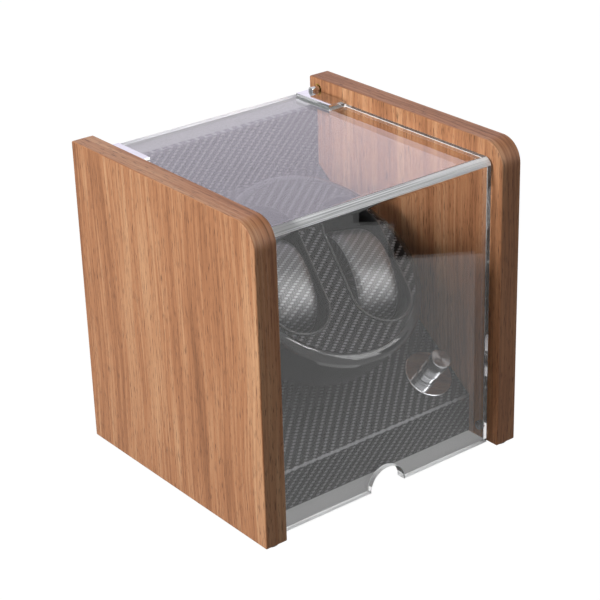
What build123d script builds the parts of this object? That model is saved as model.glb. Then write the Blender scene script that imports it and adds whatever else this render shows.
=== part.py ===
from build123d import *
import math
import os

# Watch winder for two watches: walnut side panels, a hinged clear cover, a leather-covered
# sloping board and one round rotor with two lift-out pillows.
# Frame: millimetres, X to the right, Y to the rear, Z up, origin on the floor under the centre.

# Case
WIDTH = 180.0            # over the two side panels
DEPTH = 164.0            # side panel, front to rear
PANEL_H = 182.5          # side panel height, without the foot pads
PANEL_T = 14.0           # side panel thickness
PANEL_CORNER = 13.5      # radius of the top front corner
PANEL_EASE = 0.8         # eased edge all round a panel
FOOT_T = 1.5             # foot pad thickness
FOOT_R = 5.0
FOOT_INSET = 6.5         # foot centre from a panel's front or rear edge
BOARD_T = 6.0            # fibreboard of the sloping board, skirt and base
BACK_T = 4.0             # back panel
BACK_RECESS = 2.0        # back panel's outer face in from the panels' rear edge
BACK_GAP = 8.0           # back panel's top below the cover's sheet
LEATHER_T = 1.0          # carbon-weave leather skin
FLOOR_GAP = 1.0          # skirt, base and back above the panels' lower edge
SIDE_FIT = 0.1           # boards between the panels, each side

# Sloping board and its front fold, measured on the outer face of the leather
TILT = 37.5              # slope of the board above the horizontal, degrees
FOLD_SETBACK = 26.0      # face of the front skirt behind the panels' front edge
FOLD_H = 24.2            # height of the fold above the panels' lower edge
FOLD_R = 2.0             # outer radius of the leather at the fold
SPLAY_U = 82.5           # rotor axis, up the slope from the fold

# Cover
COVER_T = 6.0            # clear acrylic sheet
COVER_DOWN = 8.5         # upper face below the panels' upper edge
COVER_FRONT = 7.0        # face of the front pane behind the panels' front edge
COVER_REAR = 1.5         # rear edge of the top sheet in from the panels' rear edge
COVER_SIDE = 1.2         # gap between the cover and a side panel
COVER_ROUND = 5.0        # radius of the upper front edge
COVER_LIFT = 0.3         # lower edge of the pane above the panels' lower edge
NOTCH_R = 12.0           # finger notch in the pane's lower edge
STOP_R = 2.75            # clear rubber stop behind the pane
STOP_L = 3.0
STOP_H = 9.0
STOP_GAP = 0.15          # stop to pane

# Cover hinges
HINGE_REAR = 8.0         # hinge axis in from the panels' rear edge
HINGE_UP = 2.2           # hinge axis above the cover's upper face
HINGE_L = 30.5           # clip length, front to rear
HINGE_W = 13.0           # clip width across the sheet
HINGE_T = 1.4            # clip sheet metal
HINGE_LINER = 0.3        # rubber liner between clip and acrylic
HINGE_SIDE = 0.5         # clip to side panel
BARREL_R = 2.2
BARREL_L = 5.0
PIN_R = 1.5
PIN_FIT = 0.05           # radial running clearance of pins and shafts
BUSH_R = 3.0             # hinge bush in the side panel
BUSH_L = 8.0
GRUB_R = 1.5
GRUB_L = 2.4
GRUB_IN = (6.0, 9.0)     # grub screws in from the clip's front and rear end

# Rotor, heights along its own axis above the leather
FACE_H = 51.4            # leather face of the rotor
FACE_R = 53.2            # leather face radius
FACE_T = 3.0             # face plate
RIM_R = 58.7             # outer radius of the gloss rim
RIM_DROP = 4.2           # rim's widest line below the face
RIM_SKIRT = 2.6          # straight part of the rim under that line
RIM_LEDGE = 0.9          # ledge under the face plate's edge
RIM_FIT = 0.3            # groove between the leather and the rim
BOWL_R = 57.2            # bowl under the rim
BOWL_T = 2.4
BOWL_LIFT = 3.0          # bowl's foot above the leather
BOWL_FOOT_R = 38.0       # flat foot of the bowl
BOWL_BELLY = (57.2, 24.0)   # radius and height that the bowl's side bends toward
BOWL_HEEL = (54.0, 3.0)     # radius and height that its heel bends toward
HUB_R = 11.0             # boss inside the bowl
HUB_TOP = 12.0
HUB_WASHER_R = 8.0
HUB_WASHER_T = 1.0
HUB_HEAD_R = 4.5
HUB_HEAD_T = 3.0
HUB_SCREW_R = 2.0
HUB_SCREW_L = 10.0
REST_TURN = -10.5        # how far the rotor is turned in the photograph, degrees
WELL_W = 34.0            # pillow well, across
WELL_L = 74.0            # pillow well, along
WELL_X = 26.0            # well centre from the rotor's axis
WELL_FOOT = 13.5         # underside of a well above the leather of the board
WELL_WALL = 1.2
WELL_FLOOR_R = 6.0
LIP_W = 0.9              # rounded lip that laps the leather
LIP_H = 1.2
LIP_BEVEL = 0.8          # bevel from the lip into the well, across
LIP_FALL = 1.8           # the same bevel, downward
PILLOW_W = 28.0
PILLOW_A = 29.4          # half length of the pillow
PILLOW_B = 20.9          # half depth of the pillow
PILLOW_SEAT = 0.4        # pillow above the well's floor
PILLOW_DRAWN = 2.2       # how far the section shrinks at the pillow's sides
SHOULDER_DRAWN = 0.5     # the same where the side starts to draw in
SHOULDER_IN = 2.6        # that section in from the pillow's side

# Spindle and drive under the board
SPINDLE_R = 4.0
SLEEVE_R = 7.0           # bearing sleeve
SLEEVE_FLANGE_R = 11.0
SLEEVE_FLANGE_T = 2.0
SLEEVE_DROP = 4.6        # sleeve below the board
SLEEVE_NUT_AF = 19.0
SLEEVE_NUT_T = 3.0
RUN_GAP = 0.4            # end gap between turning and fixed faces
GEAR_MODULE = 0.8
GEAR_TEETH = 60
PINION_TEETH = 15
GEAR_W = 5.0
PINION_W = 6.0
PRESSURE = 20.0          # pressure angle, degrees
BACKLASH = 0.16          # taken off each tooth's thickness, at the pitch circle
GEAR_HOLE_R = 4.5
GEAR_HOLE_PCD = 15.5
GEAR_HOLES = 6
GEAR_HUB_R = 7.5
GEAR_HUB_T = 2.4
BRACKET_T = 2.0
BRACKET_V = 27.0         # half width of the bracket plate
BRACKET_X0 = -53.0
BRACKET_X1 = 35.0
BRACKET_DROP = 14.0      # bracket plate's upper face under the board
POST_R = 3.5
POST_POINTS = ((-47.5, -21.0), (-47.5, 21.0), (29.5, -21.5), (29.5, 21.5))
MOTOR_R = 12.5
GEARBOX_L = 18.0
MOTOR_CAN_R = 12.0
MOTOR_CAN_L = 24.0
MOTOR_BOSS_R = 3.6
MOTOR_SHAFT_R = 2.0
MOTOR_SHAFT_IN = 9.0     # shaft inside the gearbox
MOTOR_TAIL_R = 4.0       # rear bearing of the motor
MOTOR_TAIL_L = 2.0
MOTOR_SCREW_PCD = 8.5
FIXING_R = 1.5           # screws of the drive and control board
FIXING_BITE = 4.0
MOTOR_SCREW_HEAD_R = 2.8
MOTOR_SCREW_HEAD_T = 1.2
BRACKET_SCREW_HEAD_R = 3.0
BRACKET_SCREW_HEAD_T = 2.0
SPINDLE_TAIL = 4.0       # spindle below the bracket
CLIP_R = 6.8
CLIP_T = 0.8

# Speed knob
KNOB_IN = 17.6           # knob axis in from the right panel
KNOB_U = 20.6            # knob axis, up the slope from the fold
DIAL_R = 14.7
DIAL_T = 1.5
COLLAR_R = 5.5
COLLAR_T = 2.2
KNOB_R = 6.1
KNOB_TOP = 18.6
KNOB_BORE = 9.0
SWITCH_SIDE = 17.0
SWITCH_T = 9.0
SWITCH_BUSH_R = 4.2
SHAFT_R = 3.0

# Inside the base
CLEAT = 12.0
CLEAT_FRONT = 26.0       # front end of a cleat behind the skirt
POST_GAP = 1.3           # top of a corner post under the cleat's rear end
CLEAT_SCREW_U = (44.0, 79.0, 114.0)
POST_SCREW_H = (10.0, 52.0)
BACK_SCREW_H = (22.0, 68.0)
BACK_SCREW_BITE = 10.0
BACK_SCREW_CONE = 1.0
SCREW_R = 1.75
SCREW_HEAD_R = 3.6
SCREW_HEAD_T = 2.0
SCREW_BITE = 9.0         # screw length into the side panel
PCB = (58.0, 42.0, 1.6)
PCB_AT = (34.0, 8.0)
PCB_LIFT = 5.0
PCB_FIXING_IN = 3.5      # fixing points in from the board's edges
SPACER_R = 2.8
CAPACITOR_R = 4.0
CAPACITOR_H = 11.0
CAPACITOR_AT = ((-8.0, 8.0), (3.0, 8.0))
CONNECTOR = (7.0, 9.0, 7.0)
CONNECTOR_AT = ((-21.0, 7.0), (-21.0, -7.0))
CHIP = (16.0, 8.0, 2.4)
CHIP_AT = (6.0, -9.0)
PLUG_ROW = (6.0, 14.0, 6.0)
PLUG_ROW_AT = (20.0, 0.0)
SOCKET_CLEAR = 3.0       # power socket to the motor, across
SOCKET_H = 24.0
SOCKET_R = 5.5
SOCKET_FLANGE_R = 7.5
SOCKET_FLANGE_T = 1.6
SOCKET_L = 12.0
JACK_R = 2.75
JACK_PIN_R = 1.05
JACK_DEPTH = 9.5

# Worked out from the values above
LOW = FOOT_T
HIGH = LOW + PANEL_H
INNER_X = WIDTH / 2 - PANEL_T
BOARD_X = INNER_X - SIDE_FIT
FRONT = -DEPTH / 2
REAR = DEPTH / 2
BACK_OUT = REAR - BACK_RECESS
BACK_IN = BACK_OUT - BACK_T
BOTTOM = LOW + FLOOR_GAP
COVER_Z = HIGH - COVER_DOWN
SHEET_Z = COVER_Z - COVER_T
BACK_TOP = SHEET_Z - BACK_GAP
SLOPE = math.radians(TILT)
FOLD_Z = LOW + FOLD_H
FOLD_Y = FRONT + FOLD_SETBACK
KNOB_X = INNER_X - KNOB_IN
BOARD_W = -LEATHER_T - BOARD_T
PANE_Y = FRONT + COVER_FRONT
PANE_IN = PANE_Y + COVER_T
COVER_X = INNER_X - COVER_SIDE
SHEET_REAR = REAR - COVER_REAR
HINGE_Y = REAR - HINGE_REAR
HINGE_Z = COVER_Z + HINGE_UP
PITCH_R = GEAR_MODULE * GEAR_TEETH / 2
PINION_R = GEAR_MODULE * PINION_TEETH / 2
MOTOR_X = -(PITCH_R + PINION_R)
WELL_DEPTH = FACE_H - WELL_WALL - WELL_FOOT
SOCKET_X = MOTOR_X + MOTOR_R + SOCKET_CLEAR + SOCKET_FLANGE_R
SLEEVE_END = BOARD_W - SLEEVE_DROP
GEAR_TOP = SLEEVE_END - RUN_GAP
GEAR_LOW = GEAR_TOP - GEAR_W
BRACKET_TOP = BOARD_W - BRACKET_DROP
BRACKET_LOW = BRACKET_TOP - BRACKET_T


def on_slope(x, u, w=0.0):
    """The place x across, u up the slope from the fold and w above the leather."""
    y = FOLD_Y + u * math.cos(SLOPE) - w * math.sin(SLOPE)
    z = FOLD_Z + u * math.sin(SLOPE) + w * math.cos(SLOPE)
    return (x, y, z)


def slope_z(y, w=0.0):
    """Height of the surface w above the leather at depth y."""
    return FOLD_Z + (y - FOLD_Y) * math.tan(SLOPE) + w / math.cos(SLOPE)


def slope_plane(x, u):
    """A plane on the leather whose Z axis stands square to the slope and whose Y runs up it."""
    normal = (0, -math.sin(SLOPE), math.cos(SLOPE))
    return Plane(origin=on_slope(x, u), x_dir=(1, 0, 0), z_dir=normal)


ROTOR = slope_plane(0, SPLAY_U)
KNOB = slope_plane(KNOB_X, KNOB_U)


def block(x, y, z):
    """A box between the given pairs of coordinates."""
    size = (x[1] - x[0], y[1] - y[0], z[1] - z[0])
    middle = ((x[0] + x[1]) / 2, (y[0] + y[1]) / 2, (z[0] + z[1]) / 2)
    return Pos(*middle) * Box(*size)


def across(points, x0, x1):
    """A solid with the given outline in Y and Z, drawn out from x0 to x1."""
    face = make_face(Polyline([(x0, y, z) for y, z in points], close=True))
    return extrude(face, amount=x1 - x0, dir=(1, 0, 0))


def rod(radius, w0, w1, x=0.0, v=0.0):
    """A round bar along the local Z axis from w0 to w1."""
    return Pos(x, v, (w0 + w1) / 2) * Cylinder(radius, w1 - w0)


def rod_x(radius, x0, x1, y, z):
    """A round bar along X from x0 to x1."""
    return Pos((x0 + x1) / 2, y, z) * Rot(0, 90, 0) * Cylinder(radius, x1 - x0)


def rod_y(radius, y0, y1, x, z):
    """A round bar along Y from y0 to y1."""
    return Pos(x, (y0 + y1) / 2, z) * Rot(90, 0, 0) * Cylinder(radius, y1 - y0)


def spun(lines):
    """A solid of revolution about the local Z axis from lines of radius and height."""
    return revolve(Plane.XZ * make_face(lines), axis=Axis.Z)


def mirrored(part):
    """The same part on the left side."""
    return part.mirror(Plane.YZ)


def group(parts):
    """Several separate solids as one node."""
    return Compound(children=[s for p in parts for s in p.solids()])


# Screws and the holes that take them

def screw_x(x_head, x_tip, y, z):
    """A screw along X with its head at x_head."""
    step = SCREW_HEAD_T if x_tip > x_head else -SCREW_HEAD_T
    head = rod_x(SCREW_HEAD_R, min(x_head, x_head + step), max(x_head, x_head + step), y, z)
    shank = rod_x(SCREW_R, min(x_head, x_tip), max(x_head, x_tip), y, z)
    return head + shank


def cleat_screws():
    """Screws through each cleat into its side panel, right side."""
    x_head = BOARD_X - CLEAT
    places = [on_slope(0, u, BOARD_W - CLEAT / 2) for u in CLEAT_SCREW_U]
    return [screw_x(x_head, INNER_X + SCREW_BITE, y, z) for _, y, z in places]


def post_screws():
    """Screws through each rear post into its side panel, right side."""
    x_head = BOARD_X - CLEAT
    y = BACK_IN - CLEAT / 2
    return [screw_x(x_head, INNER_X + SCREW_BITE, y, BOTTOM + BOARD_T + h) for h in POST_SCREW_H]


def back_screws():
    """Countersunk screws through the back panel into the rear posts, both sides."""
    parts = []
    for x in (-1, 1):
        for h in BACK_SCREW_H:
            place = (x * (BOARD_X - CLEAT / 2), BOTTOM + h)
            cone = Rot(-90, 0, 0) * Cone(SCREW_R, SCREW_HEAD_R, 2 * BACK_SCREW_CONE)
            cone = Pos(place[0], BACK_OUT - BACK_SCREW_CONE, place[1]) * cone
            parts.append(cone + rod_y(SCREW_R, BACK_IN - BACK_SCREW_BITE, BACK_OUT - BACK_SCREW_CONE, *place))
    return parts


# Case

def hinge_hole():
    """The bush's seat in the right side panel."""
    return rod_x(BUSH_R, INNER_X, INNER_X + BUSH_L, HINGE_Y, HINGE_Z)


def right_panel():
    """A walnut side panel: one rounded corner at the top front, every edge eased."""
    board = block((INNER_X, WIDTH / 2), (FRONT, REAR), (LOW, HIGH))
    corner = board.edges().filter_by(Axis.X).sort_by(Axis.Z)[-2:].sort_by(Axis.Y)[0]
    board = fillet(corner, PANEL_CORNER)
    board = fillet(board.edges(), PANEL_EASE)
    board -= hinge_hole()
    for screw in cleat_screws() + post_screws():
        board -= screw
    return board


def hinge_bush():
    """Brass bush in the right panel."""
    return hinge_hole() - rod_x(PIN_R + PIN_FIT, INNER_X, INNER_X + BUSH_L, HINGE_Y, HINGE_Z)


def foot_pads():
    """Four thin round pads under the panels."""
    parts = []
    for x in (-1, 1):
        for y in (-1, 1):
            pad = Pos(x * (WIDTH - PANEL_T) / 2, y * (DEPTH / 2 - FOOT_INSET), FOOT_T / 2)
            pad = pad * Cylinder(FOOT_R, FOOT_T)
            parts.append(chamfer(pad.edges().group_by(Axis.Z)[0], 0.3))
    return parts


def cover_stops():
    """A clear rubber stop on each panel, just behind the pane."""
    y = PANE_IN + STOP_GAP + STOP_R
    stop = rod_x(STOP_R, INNER_X - STOP_L, INNER_X, y, LOW + STOP_H)
    stop = fillet(stop.edges().group_by(Axis.X)[0], 1.0)
    return [stop, mirrored(stop)]


def fascia_leather():
    """The leather from the skirt's foot over the fold and up the slope."""
    y_end = BACK_IN - LEATHER_T
    outer = [(FOLD_Y, BOTTOM), (FOLD_Y, FOLD_Z), (y_end, slope_z(y_end))]
    inner_y = FOLD_Y + LEATHER_T
    inner = [(y_end, slope_z(y_end, -LEATHER_T)), (inner_y, slope_z(inner_y, -LEATHER_T)), (inner_y, BOTTOM)]
    skin = across(outer + inner, -BOARD_X, BOARD_X)
    folds = skin.edges().filter_by(Axis.X).sort_by(Axis.Y)
    outer_fold = folds.filter_by_position(Axis.Y, FOLD_Y - 0.1, FOLD_Y + 0.1).sort_by(Axis.Z)[-1]
    skin = fillet(outer_fold, FOLD_R)
    skin -= ROTOR * rod(SLEEVE_FLANGE_R, -LEATHER_T, LEATHER_T)
    return skin - KNOB * rod(SWITCH_BUSH_R, -LEATHER_T, LEATHER_T)


def fascia_board():
    """The sloping board between the panels."""
    y0 = FOLD_Y + LEATHER_T
    top = [(y0, slope_z(y0, -LEATHER_T)), (BACK_IN, slope_z(BACK_IN, -LEATHER_T))]
    under = [(BACK_IN, slope_z(BACK_IN, BOARD_W)), (y0, slope_z(y0, BOARD_W))]
    board = across(top + under, -BOARD_X, BOARD_X)
    board -= ROTOR * rod(SLEEVE_R, 2 * BOARD_W, 0)
    board -= KNOB * rod(SWITCH_BUSH_R, 2 * BOARD_W, 0)
    for screw in bracket_screws():
        board -= screw
    return board


def front_skirt():
    """The upright board under the fold, its top cut to the slope."""
    y0 = FOLD_Y + LEATHER_T
    y1 = y0 + BOARD_T
    outline = [(y0, BOTTOM), (y1, BOTTOM), (y1, slope_z(y1, BOARD_W)), (y0, slope_z(y0, BOARD_W))]
    return across(outline, -BOARD_X, BOARD_X)


def base_board():
    """The bottom board behind the skirt."""
    y0 = FOLD_Y + LEATHER_T + BOARD_T
    return block((-BOARD_X, BOARD_X), (y0, BACK_IN), (BOTTOM, BOTTOM + BOARD_T))


def back_panel():
    """The back panel with its hole for the power socket."""
    panel = block((-BOARD_X, BOARD_X), (BACK_IN, BACK_OUT), (BOTTOM, BACK_TOP))
    panel -= rod_y(SOCKET_R, BACK_IN, BACK_OUT, SOCKET_X, LOW + SOCKET_H)
    for screw in back_screws():
        panel -= screw
    return panel


def back_leather():
    """Leather on the back panel above the slope, turned over its top edge."""
    y0 = BACK_IN - LEATHER_T
    z_top = BACK_TOP + LEATHER_T
    outline = [
        (y0, slope_z(y0, -LEATHER_T)),
        (y0, z_top),
        (BACK_OUT, z_top),
        (BACK_OUT, BACK_TOP),
        (BACK_IN, BACK_TOP),
        (BACK_IN, slope_z(BACK_IN, -LEATHER_T)),
    ]
    skin = across(outline, -BOARD_X, BOARD_X)
    top_edges = skin.edges().filter_by(Axis.X).filter_by_position(Axis.Z, z_top - 0.1, z_top + 0.1)
    return fillet(top_edges, 0.8)


def cleat():
    """The strip under the right end of the sloping board."""
    y0 = FOLD_Y + LEATHER_T + BOARD_T + CLEAT_FRONT
    y1 = BACK_IN - CLEAT
    top = [(y0, slope_z(y0, BOARD_W)), (y1, slope_z(y1, BOARD_W))]
    under = [(y1, slope_z(y1, BOARD_W - CLEAT)), (y0, slope_z(y0, BOARD_W - CLEAT))]
    strip = across(top + under, BOARD_X - CLEAT, BOARD_X)
    for screw in cleat_screws():
        strip -= screw
    return strip


def rear_post():
    """The upright strip in the right rear corner, which carries the back panel."""
    z0 = BOTTOM + BOARD_T
    z1 = slope_z(BACK_IN - CLEAT, BOARD_W - CLEAT) - POST_GAP
    post = block((BOARD_X - CLEAT, BOARD_X), (BACK_IN - CLEAT, BACK_IN), (z0, z1))
    for screw in post_screws() + back_screws():
        post -= screw
    return post


# Cover

def hinge_span():
    """The hinge clip's front and rear ends."""
    return (HINGE_Y + BARREL_R + 1.6 - HINGE_L, HINGE_Y + BARREL_R + 1.6)


def clip_web():
    """The two X places of the clip's upright web."""
    return (INNER_X - HINGE_SIDE - HINGE_T, INNER_X - HINGE_SIDE)


def cover_top():
    """The top sheet: rounded at the front, notched for the hinge clips."""
    sheet = block((-COVER_X, COVER_X), (PANE_Y, SHEET_REAR), (SHEET_Z, COVER_Z))
    edge = sheet.edges().filter_by(Axis.X).sort_by(Axis.Z)[-2:].sort_by(Axis.Y)[0]
    sheet = fillet(edge, COVER_ROUND)
    y0, y1 = hinge_span()
    notch = block((clip_web()[0] - HINGE_LINER, INNER_X), (y0 - 0.4, y1 + 10.0), (SHEET_Z, COVER_Z))
    return sheet - notch - mirrored(notch)


def cover_front():
    """The front pane with its half-round finger notch."""
    pane = block((-COVER_X, COVER_X), (PANE_Y, PANE_IN), (LOW + COVER_LIFT, SHEET_Z))
    return pane - rod_y(NOTCH_R, PANE_Y, PANE_IN, 0, LOW + COVER_LIFT)


def hinge_liner():
    """The thin rubber strip folded round the sheet's edge inside the right clip."""
    y = hinge_span()
    x0 = clip_web()[1] - HINGE_W
    outer = block((x0, clip_web()[0]), y, (SHEET_Z - HINGE_LINER, COVER_Z + HINGE_LINER))
    return outer - block((x0, clip_web()[0] - HINGE_LINER), y, (SHEET_Z, COVER_Z))


def grub_screws():
    """Two screws through the clip's lower leaf, right side."""
    y0, y1 = hinge_span()
    z1 = SHEET_Z - HINGE_LINER
    x = clip_web()[1] - HINGE_W / 2
    return [Pos(x, y, z1 - GRUB_L / 2) * Cylinder(GRUB_R, GRUB_L) for y in (y0 + GRUB_IN[0], y1 - GRUB_IN[1])]


def hinge_clip():
    """The chrome clip: two leaves and a web bent from sheet, with a barrel for the pin."""
    y = hinge_span()
    x1 = clip_web()[1]
    z0 = SHEET_Z - HINGE_LINER - HINGE_T
    z1 = COVER_Z + HINGE_LINER + HINGE_T
    clip = block((x1 - HINGE_W, x1), y, (z0, z1))
    corners = clip.edges().filter_by(Axis.Y).group_by(Axis.X)[-1]
    clip = fillet(corners, 1.2)
    clip -= block((0, clip_web()[0]), (y[0], y[1]), (z0 + HINGE_T, z1 - HINGE_T))
    clip += rod_x(BARREL_R, x1 - BARREL_L, x1, HINGE_Y, HINGE_Z)
    clip -= block((0, clip_web()[0]), (y[0], y[1]), (z0 + HINGE_T, z1 - HINGE_T))
    clip -= rod_x(PIN_R, x1 - BARREL_L, x1, HINGE_Y, HINGE_Z)
    for screw in grub_screws():
        clip -= screw
    return clip


def hinge_pin():
    """The steel pin fixed in the clip's barrel and turning in the panel's bush."""
    return rod_x(PIN_R, clip_web()[1] - BARREL_L, INNER_X + BUSH_L - RUN_GAP, HINGE_Y, HINGE_Z)


# Rotor

def well_outline(grow=0.0):
    """The well's rounded slot, larger all round by grow."""
    return Rot(0, 0, 90) * SlotOverall(WELL_L + 2 * grow, WELL_W + 2 * grow)


def well_void():
    """The space in a well, rounded at its floor."""
    space = extrude(well_outline(), amount=-WELL_DEPTH)
    return fillet(space.edges().group_by(Axis.Z)[0], WELL_FLOOR_R)


def well_cup():
    """A moulded cup with a rounded lip that laps the leather, centred on its own axis."""
    shell = extrude(well_outline(WELL_WALL), amount=-WELL_DEPTH - WELL_WALL)
    shell = fillet(shell.edges().group_by(Axis.Z)[0], WELL_FLOOR_R + WELL_WALL)
    lip = extrude(well_outline(WELL_WALL + LIP_W), amount=LIP_H)
    lip = fillet(lip.edges().group_by(Axis.Z)[-1], LIP_H * 0.7)
    mouth = loft([Pos(0, 0, -LIP_FALL) * well_outline(), Pos(0, 0, LIP_H) * well_outline(LIP_BEVEL)])
    return Pos(0, 0, FACE_H) * (shell + lip - well_void() - mouth)


def pillow():
    """A leather pillow, widest in the middle and drawn in at both sides."""
    centre = FACE_H - WELL_DEPTH + PILLOW_SEAT + PILLOW_B
    half = PILLOW_W / 2
    stations = (
        (-half, PILLOW_DRAWN),
        (SHOULDER_IN - half, SHOULDER_DRAWN),
        (0.0, 0.0),
        (half - SHOULDER_IN, SHOULDER_DRAWN),
        (half, PILLOW_DRAWN),
    )
    sections = []
    for x, drawn in stations:
        section = Plane(origin=(x, 0, centre), x_dir=(0, 1, 0), z_dir=(1, 0, 0))
        sections.append(section * Ellipse(PILLOW_A - drawn, PILLOW_B - drawn))
    return loft(sections)


def bowl_form(inset=0.0):
    """The bowl's solid form, smaller all round by inset."""
    top = FACE_H - RIM_DROP - RIM_SKIRT
    foot = BOWL_LIFT + inset
    heel = (BOWL_HEEL[0] - inset, BOWL_HEEL[1] + inset)
    belly = (BOWL_BELLY[0] - inset, BOWL_BELLY[1])
    side = Bezier((BOWL_R - inset, top), belly, heel, (BOWL_FOOT_R - inset, foot))
    rest = Polyline((BOWL_FOOT_R - inset, foot), (0, foot), (0, top), (BOWL_R - inset, top))
    return spun([side, rest])


def rotor_bowl():
    """The gloss moulded bowl with a boss for the spindle."""
    bowl = bowl_form() - bowl_form(BOWL_T)
    bowl += rod(HUB_R, BOWL_LIFT, HUB_TOP)
    return bowl - rod(SPINDLE_R, 0, HUB_TOP)


def rotor_rim():
    """The gloss ring that holds the face, quarter-round outside."""
    r_in = FACE_R + RIM_FIT
    r_ledge = FACE_R - RIM_LEDGE
    w_top = FACE_H - RIM_FIT
    w_wide = FACE_H - RIM_DROP
    w_low = w_wide - RIM_SKIRT
    w_ledge = FACE_H - LEATHER_T - FACE_T
    bulge = Bezier((r_in, w_top), ((r_in + RIM_R) / 2, w_top), (RIM_R, (w_top + w_wide) / 2), (RIM_R, w_wide))
    side = Polyline((RIM_R, w_wide), (RIM_R, w_low), (r_ledge, w_low), (r_ledge, w_ledge))
    seat = Polyline((r_ledge, w_ledge), (r_in, w_ledge), (r_in, w_top))
    return spun([bulge, side, seat])


def face_disc(w0, w1, grow):
    """A round plate between two heights with the two wells cut out, larger by grow."""
    disc = rod(FACE_R, w0, w1)
    for x in (-WELL_X, WELL_X):
        cut = extrude(well_outline(grow), amount=w1 - w0)
        disc -= Pos(x, 0, w0) * cut
    return disc


def rotor_face():
    """The plate that carries both cups."""
    return face_disc(FACE_H - LEATHER_T - FACE_T, FACE_H - LEATHER_T, WELL_WALL)


def face_leather():
    """The leather on the plate."""
    return face_disc(FACE_H - LEATHER_T, FACE_H, WELL_WALL)


def hub_screw():
    """The pan-head screw and washer that hold the bowl on the spindle."""
    under_head = HUB_TOP + HUB_WASHER_T
    head = rod(HUB_HEAD_R, under_head, under_head + HUB_HEAD_T)
    head = fillet(head.edges().group_by(Axis.Z)[-1], HUB_HEAD_T / 3)
    return rod(HUB_WASHER_R, HUB_TOP, under_head) + head + rod(HUB_SCREW_R, under_head - HUB_SCREW_L, under_head)


def spindle():
    """The steel spindle through the bowl's boss, the sleeve, the gear and the bracket."""
    bar = rod(SPINDLE_R, BRACKET_LOW - SPINDLE_TAIL, HUB_TOP)
    bar = chamfer(bar.edges().group_by(Axis.Z)[0], 0.6)
    bar -= rod(HUB_SCREW_R, HUB_TOP + HUB_WASHER_T - HUB_SCREW_L, HUB_TOP)
    groove = rod(SPINDLE_R, 0, CLIP_T) - rod(SPINDLE_R - 0.6, 0, CLIP_T)
    return bar - Pos(0, 0, BRACKET_LOW - RUN_GAP - CLIP_T) * groove


def spindle_clip():
    """The open retaining ring in the spindle's groove."""
    w0 = BRACKET_LOW - RUN_GAP - CLIP_T
    ring = rod(CLIP_R, w0, w0 + CLIP_T) - rod(SPINDLE_R - 0.6, w0, w0 + CLIP_T)
    return ring - Pos(0, -CLIP_R, w0 + CLIP_T / 2) * Box(4.4, 2 * CLIP_R, CLIP_T)


# Gears: involute flanks from the base circle to the tip

def involute_angle(radius, base):
    """The polar angle that an involute has turned through at a radius."""
    if radius <= base:
        return 0.0
    roll = math.sqrt((radius / base) ** 2 - 1)
    return roll - math.atan(roll)


def gear_outline(teeth, phase):
    """The outline of a spur gear; phase is the angle of one tooth's middle, in degrees."""
    pitch = GEAR_MODULE * teeth / 2
    base = pitch * math.cos(math.radians(PRESSURE))
    tip = pitch + 0.9 * GEAR_MODULE
    root = pitch - 1.2 * GEAR_MODULE
    start = max(base, root)
    half = (math.pi * GEAR_MODULE / 2 - BACKLASH) / (2 * pitch) + involute_angle(pitch, base)
    radii = [start + (tip - start) * share for share in (0.0, 0.35, 0.7, 1.0)]
    flank = [(r, half - involute_angle(r, base)) for r in radii]
    if root < start:
        flank.insert(0, (root, half + 0.01))
    points = []
    for tooth in range(teeth):
        middle = math.radians(phase + 360.0 * tooth / teeth)
        rising = [(r, middle - a) for r, a in flank]
        falling = [(r, middle + a) for r, a in reversed(flank)]
        points += [(r * math.cos(a), r * math.sin(a)) for r, a in rising + falling]
    return make_face(Polyline(points, close=True))


def drive_gear():
    """The large gear fixed on the spindle, lightened by round holes."""
    gear = Pos(0, 0, GEAR_LOW) * extrude(gear_outline(GEAR_TEETH, 0.0), amount=GEAR_W)
    gear += rod(GEAR_HUB_R, GEAR_LOW - GEAR_HUB_T, GEAR_LOW)
    for k in range(GEAR_HOLES):
        turn = math.radians(360.0 * k / GEAR_HOLES)
        gear -= rod(GEAR_HOLE_R, GEAR_LOW, GEAR_TOP, GEAR_HOLE_PCD * math.cos(turn), GEAR_HOLE_PCD * math.sin(turn))
    return gear - rod(SPINDLE_R, GEAR_LOW - GEAR_HUB_T, GEAR_TOP)


def pinion():
    """The small gear on the motor's shaft, a gap facing the large gear's tooth."""
    w0 = GEAR_LOW - (PINION_W - GEAR_W) / 2
    gear = extrude(gear_outline(PINION_TEETH, 180.0 / PINION_TEETH), amount=PINION_W)
    gear -= rod(MOTOR_SHAFT_R, 0, PINION_W)
    return Pos(MOTOR_X, 0, w0) * gear


def motor_shaft():
    """The gearbox's output shaft."""
    return rod(MOTOR_SHAFT_R, BRACKET_LOW - MOTOR_SHAFT_IN, GEAR_TOP + 0.6, MOTOR_X)


# Fixed parts of the drive

def bearing_sleeve():
    """The flanged sleeve in the board."""
    sleeve = rod(SLEEVE_R, SLEEVE_END, 0) + rod(SLEEVE_FLANGE_R, -LEATHER_T, SLEEVE_FLANGE_T - LEATHER_T)
    return sleeve - rod(SPINDLE_R + PIN_FIT, SLEEVE_END, SLEEVE_FLANGE_T)


def sleeve_nut():
    """The hexagon nut that clamps the sleeve."""
    w1 = BOARD_W
    nut = Pos(0, 0, w1 - SLEEVE_NUT_T) * extrude(RegularPolygon(SLEEVE_NUT_AF / 2, 6, major_radius=False), SLEEVE_NUT_T)
    return nut - rod(SLEEVE_R, w1 - SLEEVE_NUT_T, w1)


def motor_screws():
    """Two screws through the bracket into the gearbox."""
    parts = []
    for v in (-MOTOR_SCREW_PCD, MOTOR_SCREW_PCD):
        head = rod(MOTOR_SCREW_HEAD_R, BRACKET_TOP, BRACKET_TOP + MOTOR_SCREW_HEAD_T, MOTOR_X, v)
        parts.append(head + rod(FIXING_R, BRACKET_LOW - FIXING_BITE, BRACKET_TOP, MOTOR_X, v))
    return parts


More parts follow.
